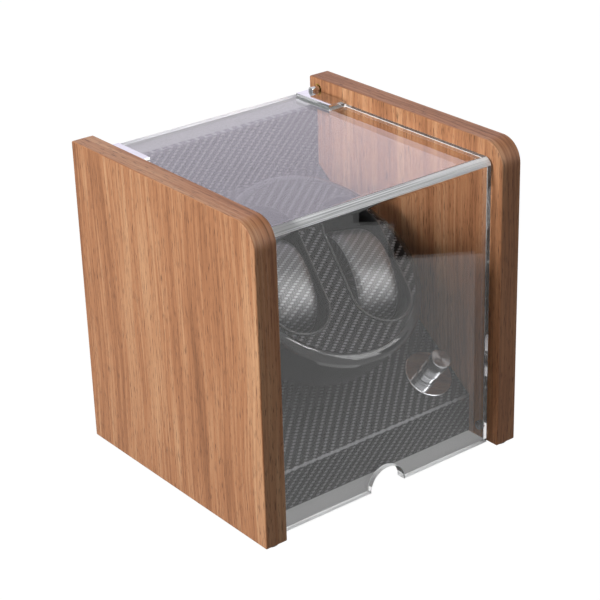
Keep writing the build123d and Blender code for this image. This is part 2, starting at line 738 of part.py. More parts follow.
def bracket_screws():
    """Four screws up through the bracket and its posts into the board, in place."""
    parts = []
    for x, v in POST_POINTS:
        head = rod(BRACKET_SCREW_HEAD_R, BRACKET_LOW - BRACKET_SCREW_HEAD_T, BRACKET_LOW, x, v)
        parts.append(ROTOR * (head + rod(FIXING_R, BRACKET_LOW, BOARD_W + FIXING_BITE, x, v)))
    return parts


def motor_bracket():
    """The steel plate under the gears: bearing hole, motor seat and four screw holes."""
    middle = (BRACKET_X0 + BRACKET_X1) / 2
    plate = Pos(middle, 0, BRACKET_LOW) * extrude(
        RectangleRounded(BRACKET_X1 - BRACKET_X0, 2 * BRACKET_V, 6.0), amount=BRACKET_T
    )
    plate -= rod(SPINDLE_R + PIN_FIT, BRACKET_LOW, BRACKET_TOP)
    plate -= rod(MOTOR_BOSS_R, BRACKET_LOW, BRACKET_TOP, MOTOR_X)
    plate = ROTOR * plate
    for screw in bracket_screws() + [ROTOR * s for s in motor_screws()]:
        plate -= screw
    return plate


def bracket_posts():
    """Four round spacers between the bracket and the board."""
    parts = []
    for x, v in POST_POINTS:
        post = rod(POST_R, BRACKET_TOP, BOARD_W, x, v) - rod(FIXING_R, BRACKET_TOP, BOARD_W, x, v)
        parts.append(ROTOR * post)
    return parts


def gear_motor():
    """Gearbox and motor in one, with a bored boss for the shaft."""
    body = rod(MOTOR_R, BRACKET_LOW - GEARBOX_L, BRACKET_LOW, MOTOR_X)
    body += rod(MOTOR_BOSS_R, BRACKET_LOW, BRACKET_TOP, MOTOR_X)
    can_low = BRACKET_LOW - GEARBOX_L - MOTOR_CAN_L
    can = rod(MOTOR_CAN_R, can_low, BRACKET_LOW - GEARBOX_L, MOTOR_X)
    can = fillet(can.edges().group_by(Axis.Z)[0], 1.5)
    body = body + can + rod(MOTOR_TAIL_R, can_low - MOTOR_TAIL_L, can_low, MOTOR_X)
    body -= rod(MOTOR_SHAFT_R + PIN_FIT, BRACKET_LOW - MOTOR_SHAFT_IN - RUN_GAP, BRACKET_TOP, MOTOR_X)
    for screw in motor_screws():
        body -= screw
    return body


# Knob

def dial_plate():
    """The polished round plate under the knob."""
    plate = rod(DIAL_R, 0, DIAL_T) - rod(SWITCH_BUSH_R, 0, DIAL_T)
    rim = plate.edges().filter_by(GeomType.CIRCLE).group_by(Axis.Z)[-1].sort_by(SortBy.RADIUS)[-1]
    return fillet(rim, 0.6)


def switch_collar():
    """The round nut that clamps the switch and the plate."""
    w0 = DIAL_T
    nut = rod(COLLAR_R, w0, w0 + COLLAR_T) - rod(SWITCH_BUSH_R, w0, w0 + COLLAR_T)
    rim = nut.edges().filter_by(GeomType.CIRCLE).group_by(Axis.Z)[-1].sort_by(SortBy.RADIUS)[-1]
    return chamfer(rim, 0.4)


def rotary_switch():
    """The switch body behind the board and its threaded bush, bored for the shaft."""
    body = Pos(0, 0, BOARD_W - SWITCH_T) * extrude(RectangleRounded(SWITCH_SIDE, SWITCH_SIDE, 1.5), amount=SWITCH_T)
    body += rod(SWITCH_BUSH_R, BOARD_W, DIAL_T + COLLAR_T)
    for x in (-5.0, 0.0, 5.0):
        body += Pos(x, -SWITCH_SIDE / 2 - 1.5, BOARD_W - SWITCH_T + 1.5) * Box(1.6, 4.0, 0.8)
    return body - rod(SHAFT_R + PIN_FIT, BOARD_W - SWITCH_T + 2.0, DIAL_T + COLLAR_T)


def switch_shaft():
    """The shaft that the knob turns."""
    return rod(SHAFT_R, BOARD_W - SWITCH_T + 2.0 + RUN_GAP, KNOB_TOP - KNOB_BORE + 5.0)


def knob_screw():
    """The set screw in the knob's side."""
    w = DIAL_T + COLLAR_T + 4.0
    return Pos(0, (SHAFT_R + KNOB_R) / 2, w) * Rot(90, 0, 0) * Cylinder(1.25, KNOB_R - SHAFT_R)


def knob():
    """The turned metal knob with a groove near its foot."""
    w0 = DIAL_T + COLLAR_T + RUN_GAP
    groove = 1.6
    outline = Polyline(
        (0, w0),
        (KNOB_R - 0.4, w0),
        (KNOB_R, w0 + 0.4),
        (KNOB_R, w0 + groove),
        (KNOB_R - 0.5, w0 + groove + 0.1),
        (KNOB_R - 0.5, w0 + groove + 0.5),
        (KNOB_R, w0 + groove + 0.6),
        (KNOB_R, KNOB_TOP - 0.5),
        (KNOB_R - 0.5, KNOB_TOP),
        (0, KNOB_TOP),
        close=True,
    )
    return spun(outline) - switch_shaft() - knob_screw()


# Electrics

def circuit_board():
    """The control board on the base."""
    x, y = PCB_AT
    z = BOTTOM + BOARD_T + PCB_LIFT
    board = Pos(x, y, z + PCB[2] / 2) * Box(*PCB)
    for px, py in pcb_points():
        board -= Pos(px, py, z + PCB[2] / 2) * Cylinder(FIXING_R, PCB[2])
    return board


def pcb_points():
    """The four fixing points of the control board."""
    x, y = PCB_AT
    dx = PCB[0] / 2 - PCB_FIXING_IN
    dy = PCB[1] / 2 - PCB_FIXING_IN
    return [(x + sx * dx, y + sy * dy) for sx in (-1, 1) for sy in (-1, 1)]


def pcb_spacers():
    """Spacers with their screw heads that hold the control board."""
    z0 = BOTTOM + BOARD_T
    z1 = z0 + PCB_LIFT
    parts = []
    for x, y in pcb_points():
        post = Pos(x, y, (z0 + z1) / 2) * Cylinder(SPACER_R, PCB_LIFT)
        pin = Pos(x, y, z1 + PCB[2] / 2) * Cylinder(FIXING_R, PCB[2])
        head = Pos(x, y, z1 + PCB[2] + MOTOR_SCREW_HEAD_T / 2) * Cylinder(MOTOR_SCREW_HEAD_R, MOTOR_SCREW_HEAD_T)
        parts.append(post + pin + head)
    return parts


def board_components():
    """Connectors, a capacitor pair and chips that stand on the control board."""
    x, y = PCB_AT
    z = BOTTOM + BOARD_T + PCB_LIFT + PCB[2]
    parts = [Pos(x + dx, y + dy, z + CAPACITOR_H / 2) * Cylinder(CAPACITOR_R, CAPACITOR_H) for dx, dy in CAPACITOR_AT]
    boxes = [(CONNECTOR, at) for at in CONNECTOR_AT] + [(CHIP, CHIP_AT), (PLUG_ROW, PLUG_ROW_AT)]
    for size, (dx, dy) in boxes:
        parts.append(Pos(x + dx, y + dy, z + size[2] / 2) * Box(*size))
    return parts


def power_socket():
    """The round power inlet in the back panel, with its centre pin."""
    z = LOW + SOCKET_H
    body = rod_y(SOCKET_FLANGE_R, BACK_OUT, BACK_OUT + SOCKET_FLANGE_T, SOCKET_X, z)
    y1 = BACK_OUT + SOCKET_FLANGE_T
    body += rod_y(SOCKET_R, y1 - SOCKET_L, BACK_OUT, SOCKET_X, z)
    body -= rod_y(JACK_R, y1 - JACK_DEPTH, y1, SOCKET_X, z)
    return body + rod_y(JACK_PIN_R, y1 - JACK_DEPTH, y1 - 1.0, SOCKET_X, z)


def socket_nut():
    """The nut that holds the inlet from inside."""
    nut = extrude(RegularPolygon(8.0, 6), amount=2.5)
    nut = Pos(SOCKET_X, BACK_IN, LOW + SOCKET_H) * Rot(90, 0, 0) * nut
    return nut - rod_y(SOCKET_R, BACK_IN - 2.5, BACK_IN, SOCKET_X, LOW + SOCKET_H)


def both(part):
    """The part and its mirror image as one node."""
    return group([part, mirrored(part)])


TURNED_ROTOR = ROTOR * Rot(0, 0, REST_TURN)


def build():
    """Every node's name and solids."""
    panel = right_panel()
    strip = cleat()
    post = rear_post()
    cup = well_cup()
    cushion = pillow()
    inner_screws = cleat_screws() + post_screws()
    return {
        "right_panel": panel,
        "left_panel": mirrored(panel),
        "foot_pads": group(foot_pads()),
        "cover_stops": group(cover_stops()),
        "hinge_bushes": both(hinge_bush()),
        "fascia_leather": fascia_leather(),
        "fascia_board": fascia_board(),
        "front_skirt": front_skirt(),
        "base_board": base_board(),
        "back_panel": back_panel(),
        "back_leather": back_leather(),
        "right_cleat": strip,
        "left_cleat": mirrored(strip),
        "right_post": post,
        "left_post": mirrored(post),
        "case_screws": group(inner_screws + [mirrored(s) for s in inner_screws]),
        "back_screws": group(back_screws()),
        "cover_top": cover_top(),
        "cover_front": cover_front(),
        "right_hinge_clip": hinge_clip(),
        "left_hinge_clip": mirrored(hinge_clip()),
        "hinge_liners": both(hinge_liner()),
        "hinge_pins": both(hinge_pin()),
        "hinge_grub_screws": group(grub_screws() + [mirrored(s) for s in grub_screws()]),
        "rotor_bowl": ROTOR * rotor_bowl(),
        "rotor_rim": ROTOR * rotor_rim(),
        "rotor_face": TURNED_ROTOR * rotor_face(),
        "face_leather": TURNED_ROTOR * face_leather(),
        "right_well": TURNED_ROTOR * Pos(WELL_X, 0, 0) * cup,
        "left_well": TURNED_ROTOR * Pos(-WELL_X, 0, 0) * cup,
        "right_pillow": TURNED_ROTOR * Pos(WELL_X, 0, 0) * cushion,
        "left_pillow": TURNED_ROTOR * Pos(-WELL_X, 0, 0) * cushion,
        "hub_screw": ROTOR * hub_screw(),
        "spindle": ROTOR * spindle(),
        "spindle_clip": ROTOR * spindle_clip(),
        "drive_gear": ROTOR * drive_gear(),
        "pinion": ROTOR * pinion(),
        "motor_shaft": ROTOR * motor_shaft(),
        "bearing_sleeve": ROTOR * bearing_sleeve(),
        "sleeve_nut": ROTOR * sleeve_nut(),
        "motor_bracket": motor_bracket(),
        "bracket_posts": group(bracket_posts()),
        "bracket_screws": group(bracket_screws()),
        "gear_motor": ROTOR * gear_motor(),
        "motor_screws": group([ROTOR * s for s in motor_screws()]),
        "dial_plate": KNOB * dial_plate(),
        "switch_collar": KNOB * switch_collar(),
        "rotary_switch": KNOB * rotary_switch(),
        "switch_shaft": KNOB * switch_shaft(),
        "knob": KNOB * knob(),
        "knob_screw": KNOB * knob_screw(),
        "circuit_board": circuit_board(),
        "pcb_spacers": group(pcb_spacers()),
        "board_components": group(board_components()),
        "power_socket": power_socket(),
        "socket_nut": socket_nut(),
    }


os.makedirs("parts", exist_ok=True)
for name, shape in build().items():
    export_step(shape, f"parts/{name}.step")
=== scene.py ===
"""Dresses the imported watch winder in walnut, carbon-weave leather, clear acrylic, chrome and gloss black."""

from __future__ import annotations

import logging
import math
from dataclasses import dataclass
from enum import Enum
from typing import Any

import bmesh
import bpy
import numpy as np
from mathutils import Matrix, Vector
from mathutils.bvhtree import BVHTree


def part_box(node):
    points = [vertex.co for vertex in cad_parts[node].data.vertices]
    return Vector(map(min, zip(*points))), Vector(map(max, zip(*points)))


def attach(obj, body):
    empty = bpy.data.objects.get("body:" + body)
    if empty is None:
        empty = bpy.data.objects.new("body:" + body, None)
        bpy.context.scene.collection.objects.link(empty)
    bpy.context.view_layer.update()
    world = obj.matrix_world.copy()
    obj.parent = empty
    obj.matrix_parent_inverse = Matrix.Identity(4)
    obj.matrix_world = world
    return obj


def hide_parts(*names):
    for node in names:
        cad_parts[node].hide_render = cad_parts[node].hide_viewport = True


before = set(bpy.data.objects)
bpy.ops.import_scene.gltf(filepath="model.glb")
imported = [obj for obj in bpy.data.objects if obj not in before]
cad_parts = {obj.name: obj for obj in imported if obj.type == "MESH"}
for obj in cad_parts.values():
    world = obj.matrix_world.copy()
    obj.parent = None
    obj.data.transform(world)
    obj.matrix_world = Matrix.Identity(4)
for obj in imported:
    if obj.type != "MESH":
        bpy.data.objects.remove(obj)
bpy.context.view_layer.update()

LOG = logging.getLogger("winder")
MM = 0.001
RGBA = {"data_type": "RGBA"}

# The sloping board and what stands square to it, as the CAD has them
TILT = math.radians(37.5)
NORMAL = Vector((0.0, -math.sin(TILT), math.cos(TILT)))
UPHILL = Vector((0.0, math.cos(TILT), math.sin(TILT)))
FOLD = Vector((0.0, -56.0, 25.7)) * MM
ROTOR_FOOT = FOLD + UPHILL * 82.5 * MM
KNOB_FOOT = FOLD + UPHILL * 20.6 * MM + Vector((58.4, 0.0, 0.0)) * MM
REST_TURN = math.radians(-10.5)
ACROSS = Vector((math.cos(REST_TURN), 0.0, 0.0)) + UPHILL * math.sin(REST_TURN)
ALONG = Vector((-math.sin(REST_TURN), 0.0, 0.0)) + UPHILL * math.cos(REST_TURN)


class Body(str, Enum):
    """The CAD bodies that pieces ride on."""

    CASE = "case"
    COVER = "cover"
    ROTOR = "rotor"
    RIGHT_CUSHION = "right_cushion"
    LEFT_CUSHION = "left_cushion"


class Lay(Enum):
    """How a weave is laid on its piece."""

    SLOPE = "slope"
    WALL = "wall"
    DISC = "disc"
    WRAP = "wrap"


# Small helpers


def linear(code: str) -> tuple[float, float, float, float]:
    """Turns an sRGB hex colour to linear.

    Args:
        code: six hex digits.

    Returns:
        Red, green, blue and an alpha of one.
    """
    parts = [int(code[i : i + 2], 16) / 255.0 for i in (0, 2, 4)]
    turned = [c / 12.92 if c <= 0.04045 else ((c + 0.055) / 1.055) ** 2.4 for c in parts]
    return (turned[0], turned[1], turned[2], 1.0)


def add(
    tree: bpy.types.NodeTree,
    kind: str,
    settings: dict[str, Any] | str | None = None,
    *values: Any,
    **links: Any,
) -> bpy.types.Node:
    """Adds one shader node with its settings and links.

    A node given as a value stands for its first output.

    Args:
        tree: the material's or world's node tree.
        kind: the node's type, without its ShaderNode prefix.
        settings: attributes of the node, or its operation's name.
        values: numbers, colours or outputs for its first sockets, in order.
        links: the same for sockets by name, with underscores for spaces, or by number as _2.

    Returns:
        The new node.
    """
    node = tree.nodes.new("ShaderNode" + kind)
    for key, value in ({"operation": settings} if isinstance(settings, str) else settings or {}).items():
        setattr(node, key, value)
    for key, value in ({f"_{i}": value for i, value in enumerate(values)} | links).items():
        socket = node.inputs[int(key[1:])] if key[1:].isdigit() else node.inputs[key.replace("_", " ")]
        if isinstance(value, bpy.types.Node):
            value = value.outputs[0]
        if isinstance(value, bpy.types.NodeSocket):
            tree.links.new(value, socket)
        else:
            socket.default_value = value
    return node


def blank(name: str) -> tuple[bpy.types.Material, bpy.types.NodeTree]:
    """Makes a material with an empty node tree.

    Args:
        name: the finish's name.

    Returns:
        The material and its tree.
    """
    material = bpy.data.materials.new(name)
    material.use_nodes = True
    material.node_tree.nodes.clear()
    return material, material.node_tree


def deselect() -> None:
    """Leaves nothing selected or active."""
    if bpy.context.object and bpy.context.object.mode != "OBJECT":
        bpy.ops.object.mode_set(mode="OBJECT")
    bpy.ops.object.select_all(action="DESELECT")


def pick(obj: bpy.types.Object) -> bpy.types.Object:
    """Selects one object alone and makes it active.

    Args:
        obj: the object.

    Returns:
        The same object.
    """
    deselect()
    obj.select_set(True)
    bpy.context.view_layer.objects.active = obj
    return obj


def apply_modifiers(obj: bpy.types.Object) -> None:
    """Applies every modifier of an object in order.

    Args:
        obj: the object.
    """
    pick(obj)
    for modifier in list(obj.modifiers):
        bpy.ops.object.modifier_apply(modifier=modifier.name)


def settle(obj: bpy.types.Object, name: str) -> bpy.types.Object:
    """Names a finished piece and puts its place into its mesh.

    Args:
        obj: the piece.
        name: its plain name.

    Returns:
        The same piece.
    """
    pick(obj)
    bpy.ops.object.transform_apply(location=True, rotation=True, scale=True)
    obj.name = name
    obj.data.name = name
    return obj


def dress(node: str, material: bpy.types.Material) -> bpy.types.Object:
    """Gives a CAD node its finish.

    Args:
        node: the node's name.
        material: its material.

    Returns:
        The node's object.
    """
    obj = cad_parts[node]
    obj.data.materials.clear()
    obj.data.materials.append(material)
    LOG.info("dressed %s with %s", node, material.name)
    return obj


def place_piece(obj: bpy.types.Object, body: Body, material: bpy.types.Material) -> None:
    """Dresses a new piece and hangs it on its body.

    Args:
        obj: the piece.
        body: the body it rides on.
        material: its material.
    """
    obj.data.materials.clear()
    obj.data.materials.append(material)
    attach(obj, body.value)
    LOG.info("made %s on %s", obj.name, body.value)


# Finishes


@dataclass(frozen=True)
class Walnut:
    """Oiled walnut veneer: satin brown, with dark pores drawn out along the grain and a paler broad figure.

    The grain stands upright on the broad faces and runs round with the edge strip on the narrow ones. Each
    pair of sizes is a mark's width across the grain and its length along it.
    """

    name: str = "oiled_walnut"
    dark: str = "744A31"
    mid: str = "AB7652"
    pale: str = "CB9D76"
    pore: str = "42261A"
    figure_mm: tuple[float, float] = (16.0, 260.0)
    streak_mm: tuple[float, float] = (1.6, 70.0)
    pore_mm: tuple[float, float] = (0.55, 7.0)
    sway_mm: float = 12.0
    figure_share: float = 0.55
    pore_share: float = 0.75
    pore_depth_mm: float = 0.12
    roughness: float = 0.46
    specular: float = 0.2

    def make(self) -> bpy.types.Material:
        """Builds the material.

        Returns:
            The material.
        """
        material, tree = blank(self.name)
        xyz = add(tree, "SeparateXYZ", None, add(tree, "TexCoord").outputs["Object"]).outputs
        facing = add(tree, "SeparateXYZ", None, add(tree, "NewGeometry").outputs["Normal"]).outputs
        strip = add(tree, "Math", "LESS_THAN", add(tree, "Math", "ABSOLUTE", facing["X"]), 0.7)
        round_edge = add(tree, "Math", "SUBTRACT", xyz["Z"], xyz["Y"])
        across = add(tree, "Mix", Factor=strip, _2=xyz["Y"], _3=xyz["X"])
        along = add(tree, "Mix", Factor=strip, _2=xyz["Z"], _3=round_edge)
        # the two panels lie apart in X, so each gets its own figure
        side = add(tree, "Math", "MULTIPLY", xyz["X"], 9.0)
        sway_x = add(tree, "Math", "MULTIPLY", across, 18.0)
        sway_z = add(tree, "Math", "MULTIPLY", along, 7.0)
        drift = add(tree, "CombineXYZ", None, sway_x, side, sway_z)
        sway = add(tree, "TexNoise", None, drift, Scale=1.0, Detail=1.0)
        bent = add(tree, "Math", "ADD", across, add(tree, "Math", "MULTIPLY", sway, self.sway_mm * MM))
        figure = self.streaks(tree, (bent, side, along), self.figure_mm, 3.0)
        streak = self.streaks(tree, (bent, side, along), self.streak_mm, 4.0)
        pores = self.streaks(tree, (across, side, along), self.pore_mm, 2.0)
        figure = add(tree, "Math", "MULTIPLY", figure, self.figure_share)
        streak_share = 1.0 - self.figure_share
        mixed = add(tree, "Math", "ADD", figure, add(tree, "Math", "MULTIPLY", streak, streak_share))
        lower = add(tree, "MapRange", None, mixed, 0.3, 0.5)
        upper = add(tree, "MapRange", None, mixed, 0.5, 0.68)
        darker = add(tree, "Mix", RGBA, Factor=lower, _6=linear(self.dark), _7=linear(self.mid)).outputs[2]
        wood = add(tree, "Mix", RGBA, Factor=upper, _6=darker, _7=linear(self.pale)).outputs[2]
        pored = add(tree, "MapRange", None, pores, 0.56, 0.7, 0.0, self.pore_share)
        colour = add(tree, "Mix", RGBA, Factor=pored, _6=wood, _7=linear(self.pore)).outputs[2]
        gloss = add(tree, "MapRange", None, mixed, 0.3, 0.7, self.roughness + 0.08, self.roughness - 0.04)
        filled = add(tree, "Math", "SUBTRACT", 1.0, pored)
        bump = add(tree, "Bump", Height=filled, Strength=0.35, Distance=self.pore_depth_mm * MM)
        shader = add(
            tree,
            "BsdfPrincipled",
            Base_Color=colour,
            Roughness=gloss,
            Specular_IOR_Level=self.specular,
            Normal=bump,
        )
        add(tree, "OutputMaterial", None, shader)
        return material

    @staticmethod
    def streaks(
        tree: bpy.types.NodeTree, place: tuple[Any, Any, Any], size: tuple[float, float], detail: float
    ) -> bpy.types.Node:
        """Noise drawn out along the grain.

        Args:
            tree: the material's tree.
            place: place across the grain, the number that keeps the panels apart, and place along the grain.
            size: width and length of a mark, in millimetres.
            detail: octaves of the noise.

        Returns:
            The noise.
        """
        x = add(tree, "Math", "MULTIPLY", place[0], 1.0 / (size[0] * MM))
        z = add(tree, "Math", "MULTIPLY", place[2], 1.0 / (size[1] * MM))
        at = add(tree, "CombineXYZ", None, x, place[1], z)
        return add(tree, "TexNoise", None, at, Scale=1.0, Detail=detail, Roughness=0.6)


@dataclass(frozen=True)
class CarbonWeave:
    """Leather embossed and printed as a two-by-two twill: short grey floats on black, with a soft sheen."""

    name: str
    lay: Lay
    turn_deg: float
    thread: str = "6C6D6F"
    cross: str = "0B0B0C"
    gap: str = "030303"
    thread_mm: float = 1.53
    roughness: float = 0.38
    depth_mm: float = 0.18
    sheen: float = 0.5
    dull: float = 0.08
    # colour and half width of the painted highlight along the board's fold
    painted_fold_highlight: str = "8A8B8D"
    painted_fold_highlight_mm: float = 1.1
    ior: float = 1.5

    def make(self) -> bpy.types.Material:
        """Builds the material.

        Returns:
            The material.
        """
        material, tree = blank(self.name)
        flat = self.spread(tree)
        lean = math.radians(self.turn_deg)
        turned = add(tree, "VectorRotate", {"rotation_type": "Z_AXIS"}, flat, Angle=lean)
        cells = add(tree, "VectorMath", "SCALE", turned, Scale=1.0 / (self.thread_mm * MM))
        uv = add(tree, "SeparateXYZ", None, cells).outputs
        column = add(tree, "Math", "FLOOR", uv["X"])
        row = add(tree, "Math", "FLOOR", uv["Y"])
        # each thread goes over two and under two, one step on from its neighbour
        step = add(tree, "Math", "FLOORED_MODULO", add(tree, "Math", "SUBTRACT", column, row), 4.0)
        upright = add(tree, "Math", "LESS_THAN", step, 1.5)
        level_at = add(tree, "Math", "FLOORED_MODULO", add(tree, "Math", "SUBTRACT", uv["X"], row), 4.0)
        run_level = add(tree, "Math", "SUBTRACT", level_at, 2.0)
        up_at = add(tree, "Math", "ADD", add(tree, "Math", "SUBTRACT", uv["Y"], column), 1.0)
        run_up = add(tree, "Math", "FLOORED_MODULO", up_at, 4.0)
        wide, long = self.crown(tree, uv["Y"], 1.0), self.crown(tree, run_level, 0.5)
        level = add(tree, "Math", "MULTIPLY", wide, long)
        wide, long = self.crown(tree, uv["X"], 1.0), self.crown(tree, run_up, 0.5)
        up = add(tree, "Math", "MULTIPLY", wide, long)
        height = add(tree, "Mix", Factor=upright, _2=level, _3=up)
        thread, cross = linear(self.thread), linear(self.cross)
        tone = add(tree, "Mix", RGBA, Factor=upright, _6=thread, _7=cross).outputs[2]
        shade = add(tree, "MapRange", None, height, 0.1, 0.7)
        colour = add(tree, "Mix", RGBA, Factor=shade, _6=linear(self.gap), _7=tone).outputs[2]
        colour = self.fold_highlight_and_plain_sides(tree, flat, colour)
        cloudy = add(tree, "TexNoise", None, add(tree, "TexCoord").outputs["Object"], Scale=55.0, Detail=3.0)
        rough = add(tree, "MapRange", None, cloudy, 0.3, 0.7, self.roughness - 0.04, self.roughness + 0.07)
        lit = add(tree, "Math", "MULTIPLY", shade, add(tree, "Math", "SUBTRACT", 1.0, upright))
        sheen = add(tree, "MapRange", None, lit, To_Min=self.dull, To_Max=self.sheen)
        bump = add(tree, "Bump", Height=height, Strength=0.5, Distance=self.depth_mm * MM)
        shader = add(
            tree,
            "BsdfPrincipled",
            Base_Color=colour,
            Roughness=rough,
            IOR=self.ior,
            Specular_IOR_Level=sheen,
            Normal=bump,
        )
        add(tree, "OutputMaterial", None, shader)
        return material

    def fold_highlight_and_plain_sides(self, tree: bpy.types.NodeTree, flat: Any, colour: Any) -> Any:
        """Paints a pale highlight along the board's fold, and leaves a pillow's sides plain.

        Args:
            tree: the material's tree.
            flat: the flat place.
            colour: the weave's colour.

        Returns:
            The colour with that in it.
        """
        place = add(tree, "SeparateXYZ", None, flat).outputs
        if self.lay is Lay.WRAP:
            return add(tree, "Mix", RGBA, Factor=place["Z"], _6=colour, _7=linear(self.cross)).outputs[2]
        if self.lay is not Lay.SLOPE:
            return colour
        # painted highlight: a pale band of uneven width along the board's fold
        away = add(tree, "Math", "ABSOLUTE", place["Y"])
        patchy = add(tree, "TexNoise", {"noise_dimensions": "1D"}, W=place["X"], Scale=420.0, Detail=2.0)
        reach = add(tree, "Math", "MULTIPLY", patchy, 2.0 * self.painted_fold_highlight_mm * MM)
        share = add(tree, "MapRange", None, add(tree, "Math", "DIVIDE", away, reach), 0.5, 1.0, 0.85, 0.0)
        return add(tree, "Mix", RGBA, Factor=share, _6=colour, _7=linear(self.painted_fold_highlight)).outputs[2]

    @staticmethod
    def crown(tree: bpy.types.NodeTree, at: Any, share: float) -> bpy.types.Node:
        """Height over a thread or a float, from 0 at its edges to 1 at its crown.

        Args:
            tree: the material's tree.
            at: place across it, in threads.
            share: how much of its width one thread's width is.

        Returns:
            The height.
        """
        part = add(tree, "Math", "FRACT", add(tree, "Math", "MULTIPLY", at, share))
        return add(tree, "Math", "SINE", add(tree, "Math", "MULTIPLY", part, math.pi))

    def spread(self, tree: bpy.types.NodeTree) -> Any:
        """Lays the piece's surface out flat.

        Args:
            tree: the material's tree.

        Returns:
            The flat place as a vector, in metres.
        """
        if self.lay is Lay.WRAP:
            return add(tree, "Attribute", {"attribute_name": "wrap"}).outputs["Vector"]
        place = add(tree, "TexCoord").outputs["Object"]
        xyz = add(tree, "SeparateXYZ", None, place).outputs
        if self.lay is Lay.WALL:
            return add(tree, "CombineXYZ", None, xyz["X"], xyz["Z"])
        from_fold = add(tree, "VectorMath", "SUBTRACT", place, FOLD)
        uphill = add(tree, "VectorMath", "DOT_PRODUCT", from_fold, UPHILL).outputs["Value"]
        if self.lay is Lay.DISC:
            return add(tree, "CombineXYZ", None, xyz["X"], uphill)
        upright = add(tree, "Math", "LESS_THAN", xyz["Y"], FOLD.y + 0.4 * MM)
        below = add(tree, "Math", "SUBTRACT", xyz["Z"], FOLD.z)
        fold = add(tree, "Mix", Factor=upright, _2=uphill, _3=below)
        return add(tree, "CombineXYZ", None, xyz["X"], fold)


@dataclass(frozen=True)
class Grained:
    """A plain moulded, machined, sawn or pressed finish: two near tones in a fine grain of a real size.

    Grains under about 1 mm are too fine to show from the photograph's distance, and only soften the gloss.
    """

    name: str
    base: str
    other: str
    metallic: float = 0.0
    roughness: float = 0.5
    spread: float = 0.06
    grain_mm: float = 1.0
    stretch: tuple[float, float, float] = (1.0, 1.0, 1.0)
    bump_mm: float = 0.02
    transmission: float = 0.0

    def make(self) -> bpy.types.Material:
        """Builds the material.

        Returns:
            The material.
        """
        material, tree = blank(self.name)
        size = [1.0 / (self.grain_mm * MM * s) for s in self.stretch]
        at = add(tree, "Mapping", None, add(tree, "TexCoord").outputs["Object"], Scale=size)
        noise = add(tree, "TexNoise", None, at, Scale=1.0, Detail=3.0, Roughness=0.55)
        share = add(tree, "MapRange", None, noise, 0.35, 0.65)
        colour = add(tree, "Mix", RGBA, Factor=share, _6=linear(self.base), _7=linear(self.other)).outputs[2]
        low, high = self.roughness - self.spread, self.roughness + self.spread
        shader = add(
            tree,
            "BsdfPrincipled",
            Base_Color=colour,
            Roughness=add(tree, "MapRange", None, noise, 0.3, 0.7, low, high),
            Metallic=self.metallic,
            Transmission_Weight=self.transmission,
            Normal=add(tree, "Bump", Height=noise, Strength=0.4, Distance=self.bump_mm * MM),
        )
        add(tree, "OutputMaterial", None, shader)
        return material


@dataclass(frozen=True)
class ClearAcrylic:
    """Cast acrylic sheet with flame-polished edges: clear, with mirror gloss.

    The lamps' light loses the shadow tint at each face that it goes through, so that the inside stays darker.
    """

    name: str = "clear_cast_acrylic"
    tint: str = "FCFCFC"
    shadow: str = "D4D4D4"
    roughness: float = 0.0
    ior: float = 1.49

    def make(self) -> bpy.types.Material:
        """Builds the material.

        Returns:
            The material.
        """
        material, tree = blank(self.name)
        glass = add(tree, "BsdfGlass", Color=linear(self.tint), Roughness=self.roughness, IOR=self.ior)
        through = add(tree, "BsdfTransparent", Color=linear(self.shadow))
        shadow = add(tree, "LightPath").outputs["Is Shadow Ray"]
        add(tree, "OutputMaterial", None, add(tree, "MixShader", None, shadow, glass, through))
        return material


@dataclass(frozen=True)
class AcrylicEdge:
    """The sheet's thickness: a painted white glow in fine lines along the edge stands in for the light that
    runs inside.

    The lines of the real edge are finer than a pixel, and are drawn as coarse as they need to show.
    """

    name: str = "polished_acrylic_edge"
    glow: str = "F6F7F8"
    tint: str = "F9FCFD"
    line_mm: tuple[float, float] = (90.0, 0.7)
    roughness: float = 0.02
    ior: float = 1.49

    def make(self) -> bpy.types.Material:
        """Builds the material.

        Returns:
            The material.
        """
        material, tree = blank(self.name)
        length, width = (1.0 / (size * MM) for size in self.line_mm)
        at = add(tree, "Mapping", None, add(tree, "TexCoord").outputs["Object"], Scale=(length, width, width))
        lines = add(tree, "TexNoise", None, at, Scale=1.0, Detail=2.0)
        share = add(tree, "MapRange", None, lines, 0.34, 0.5, 0.45, 0.9)
        glass = add(tree, "BsdfGlass", Color=linear(self.tint), Roughness=self.roughness, IOR=self.ior)
        # painted glow: plain white mixed into the glass in lines
        white = add(tree, "BsdfDiffuse", Color=linear(self.glow))
        add(tree, "OutputMaterial", None, add(tree, "MixShader", None, share, glass, white))
        return material


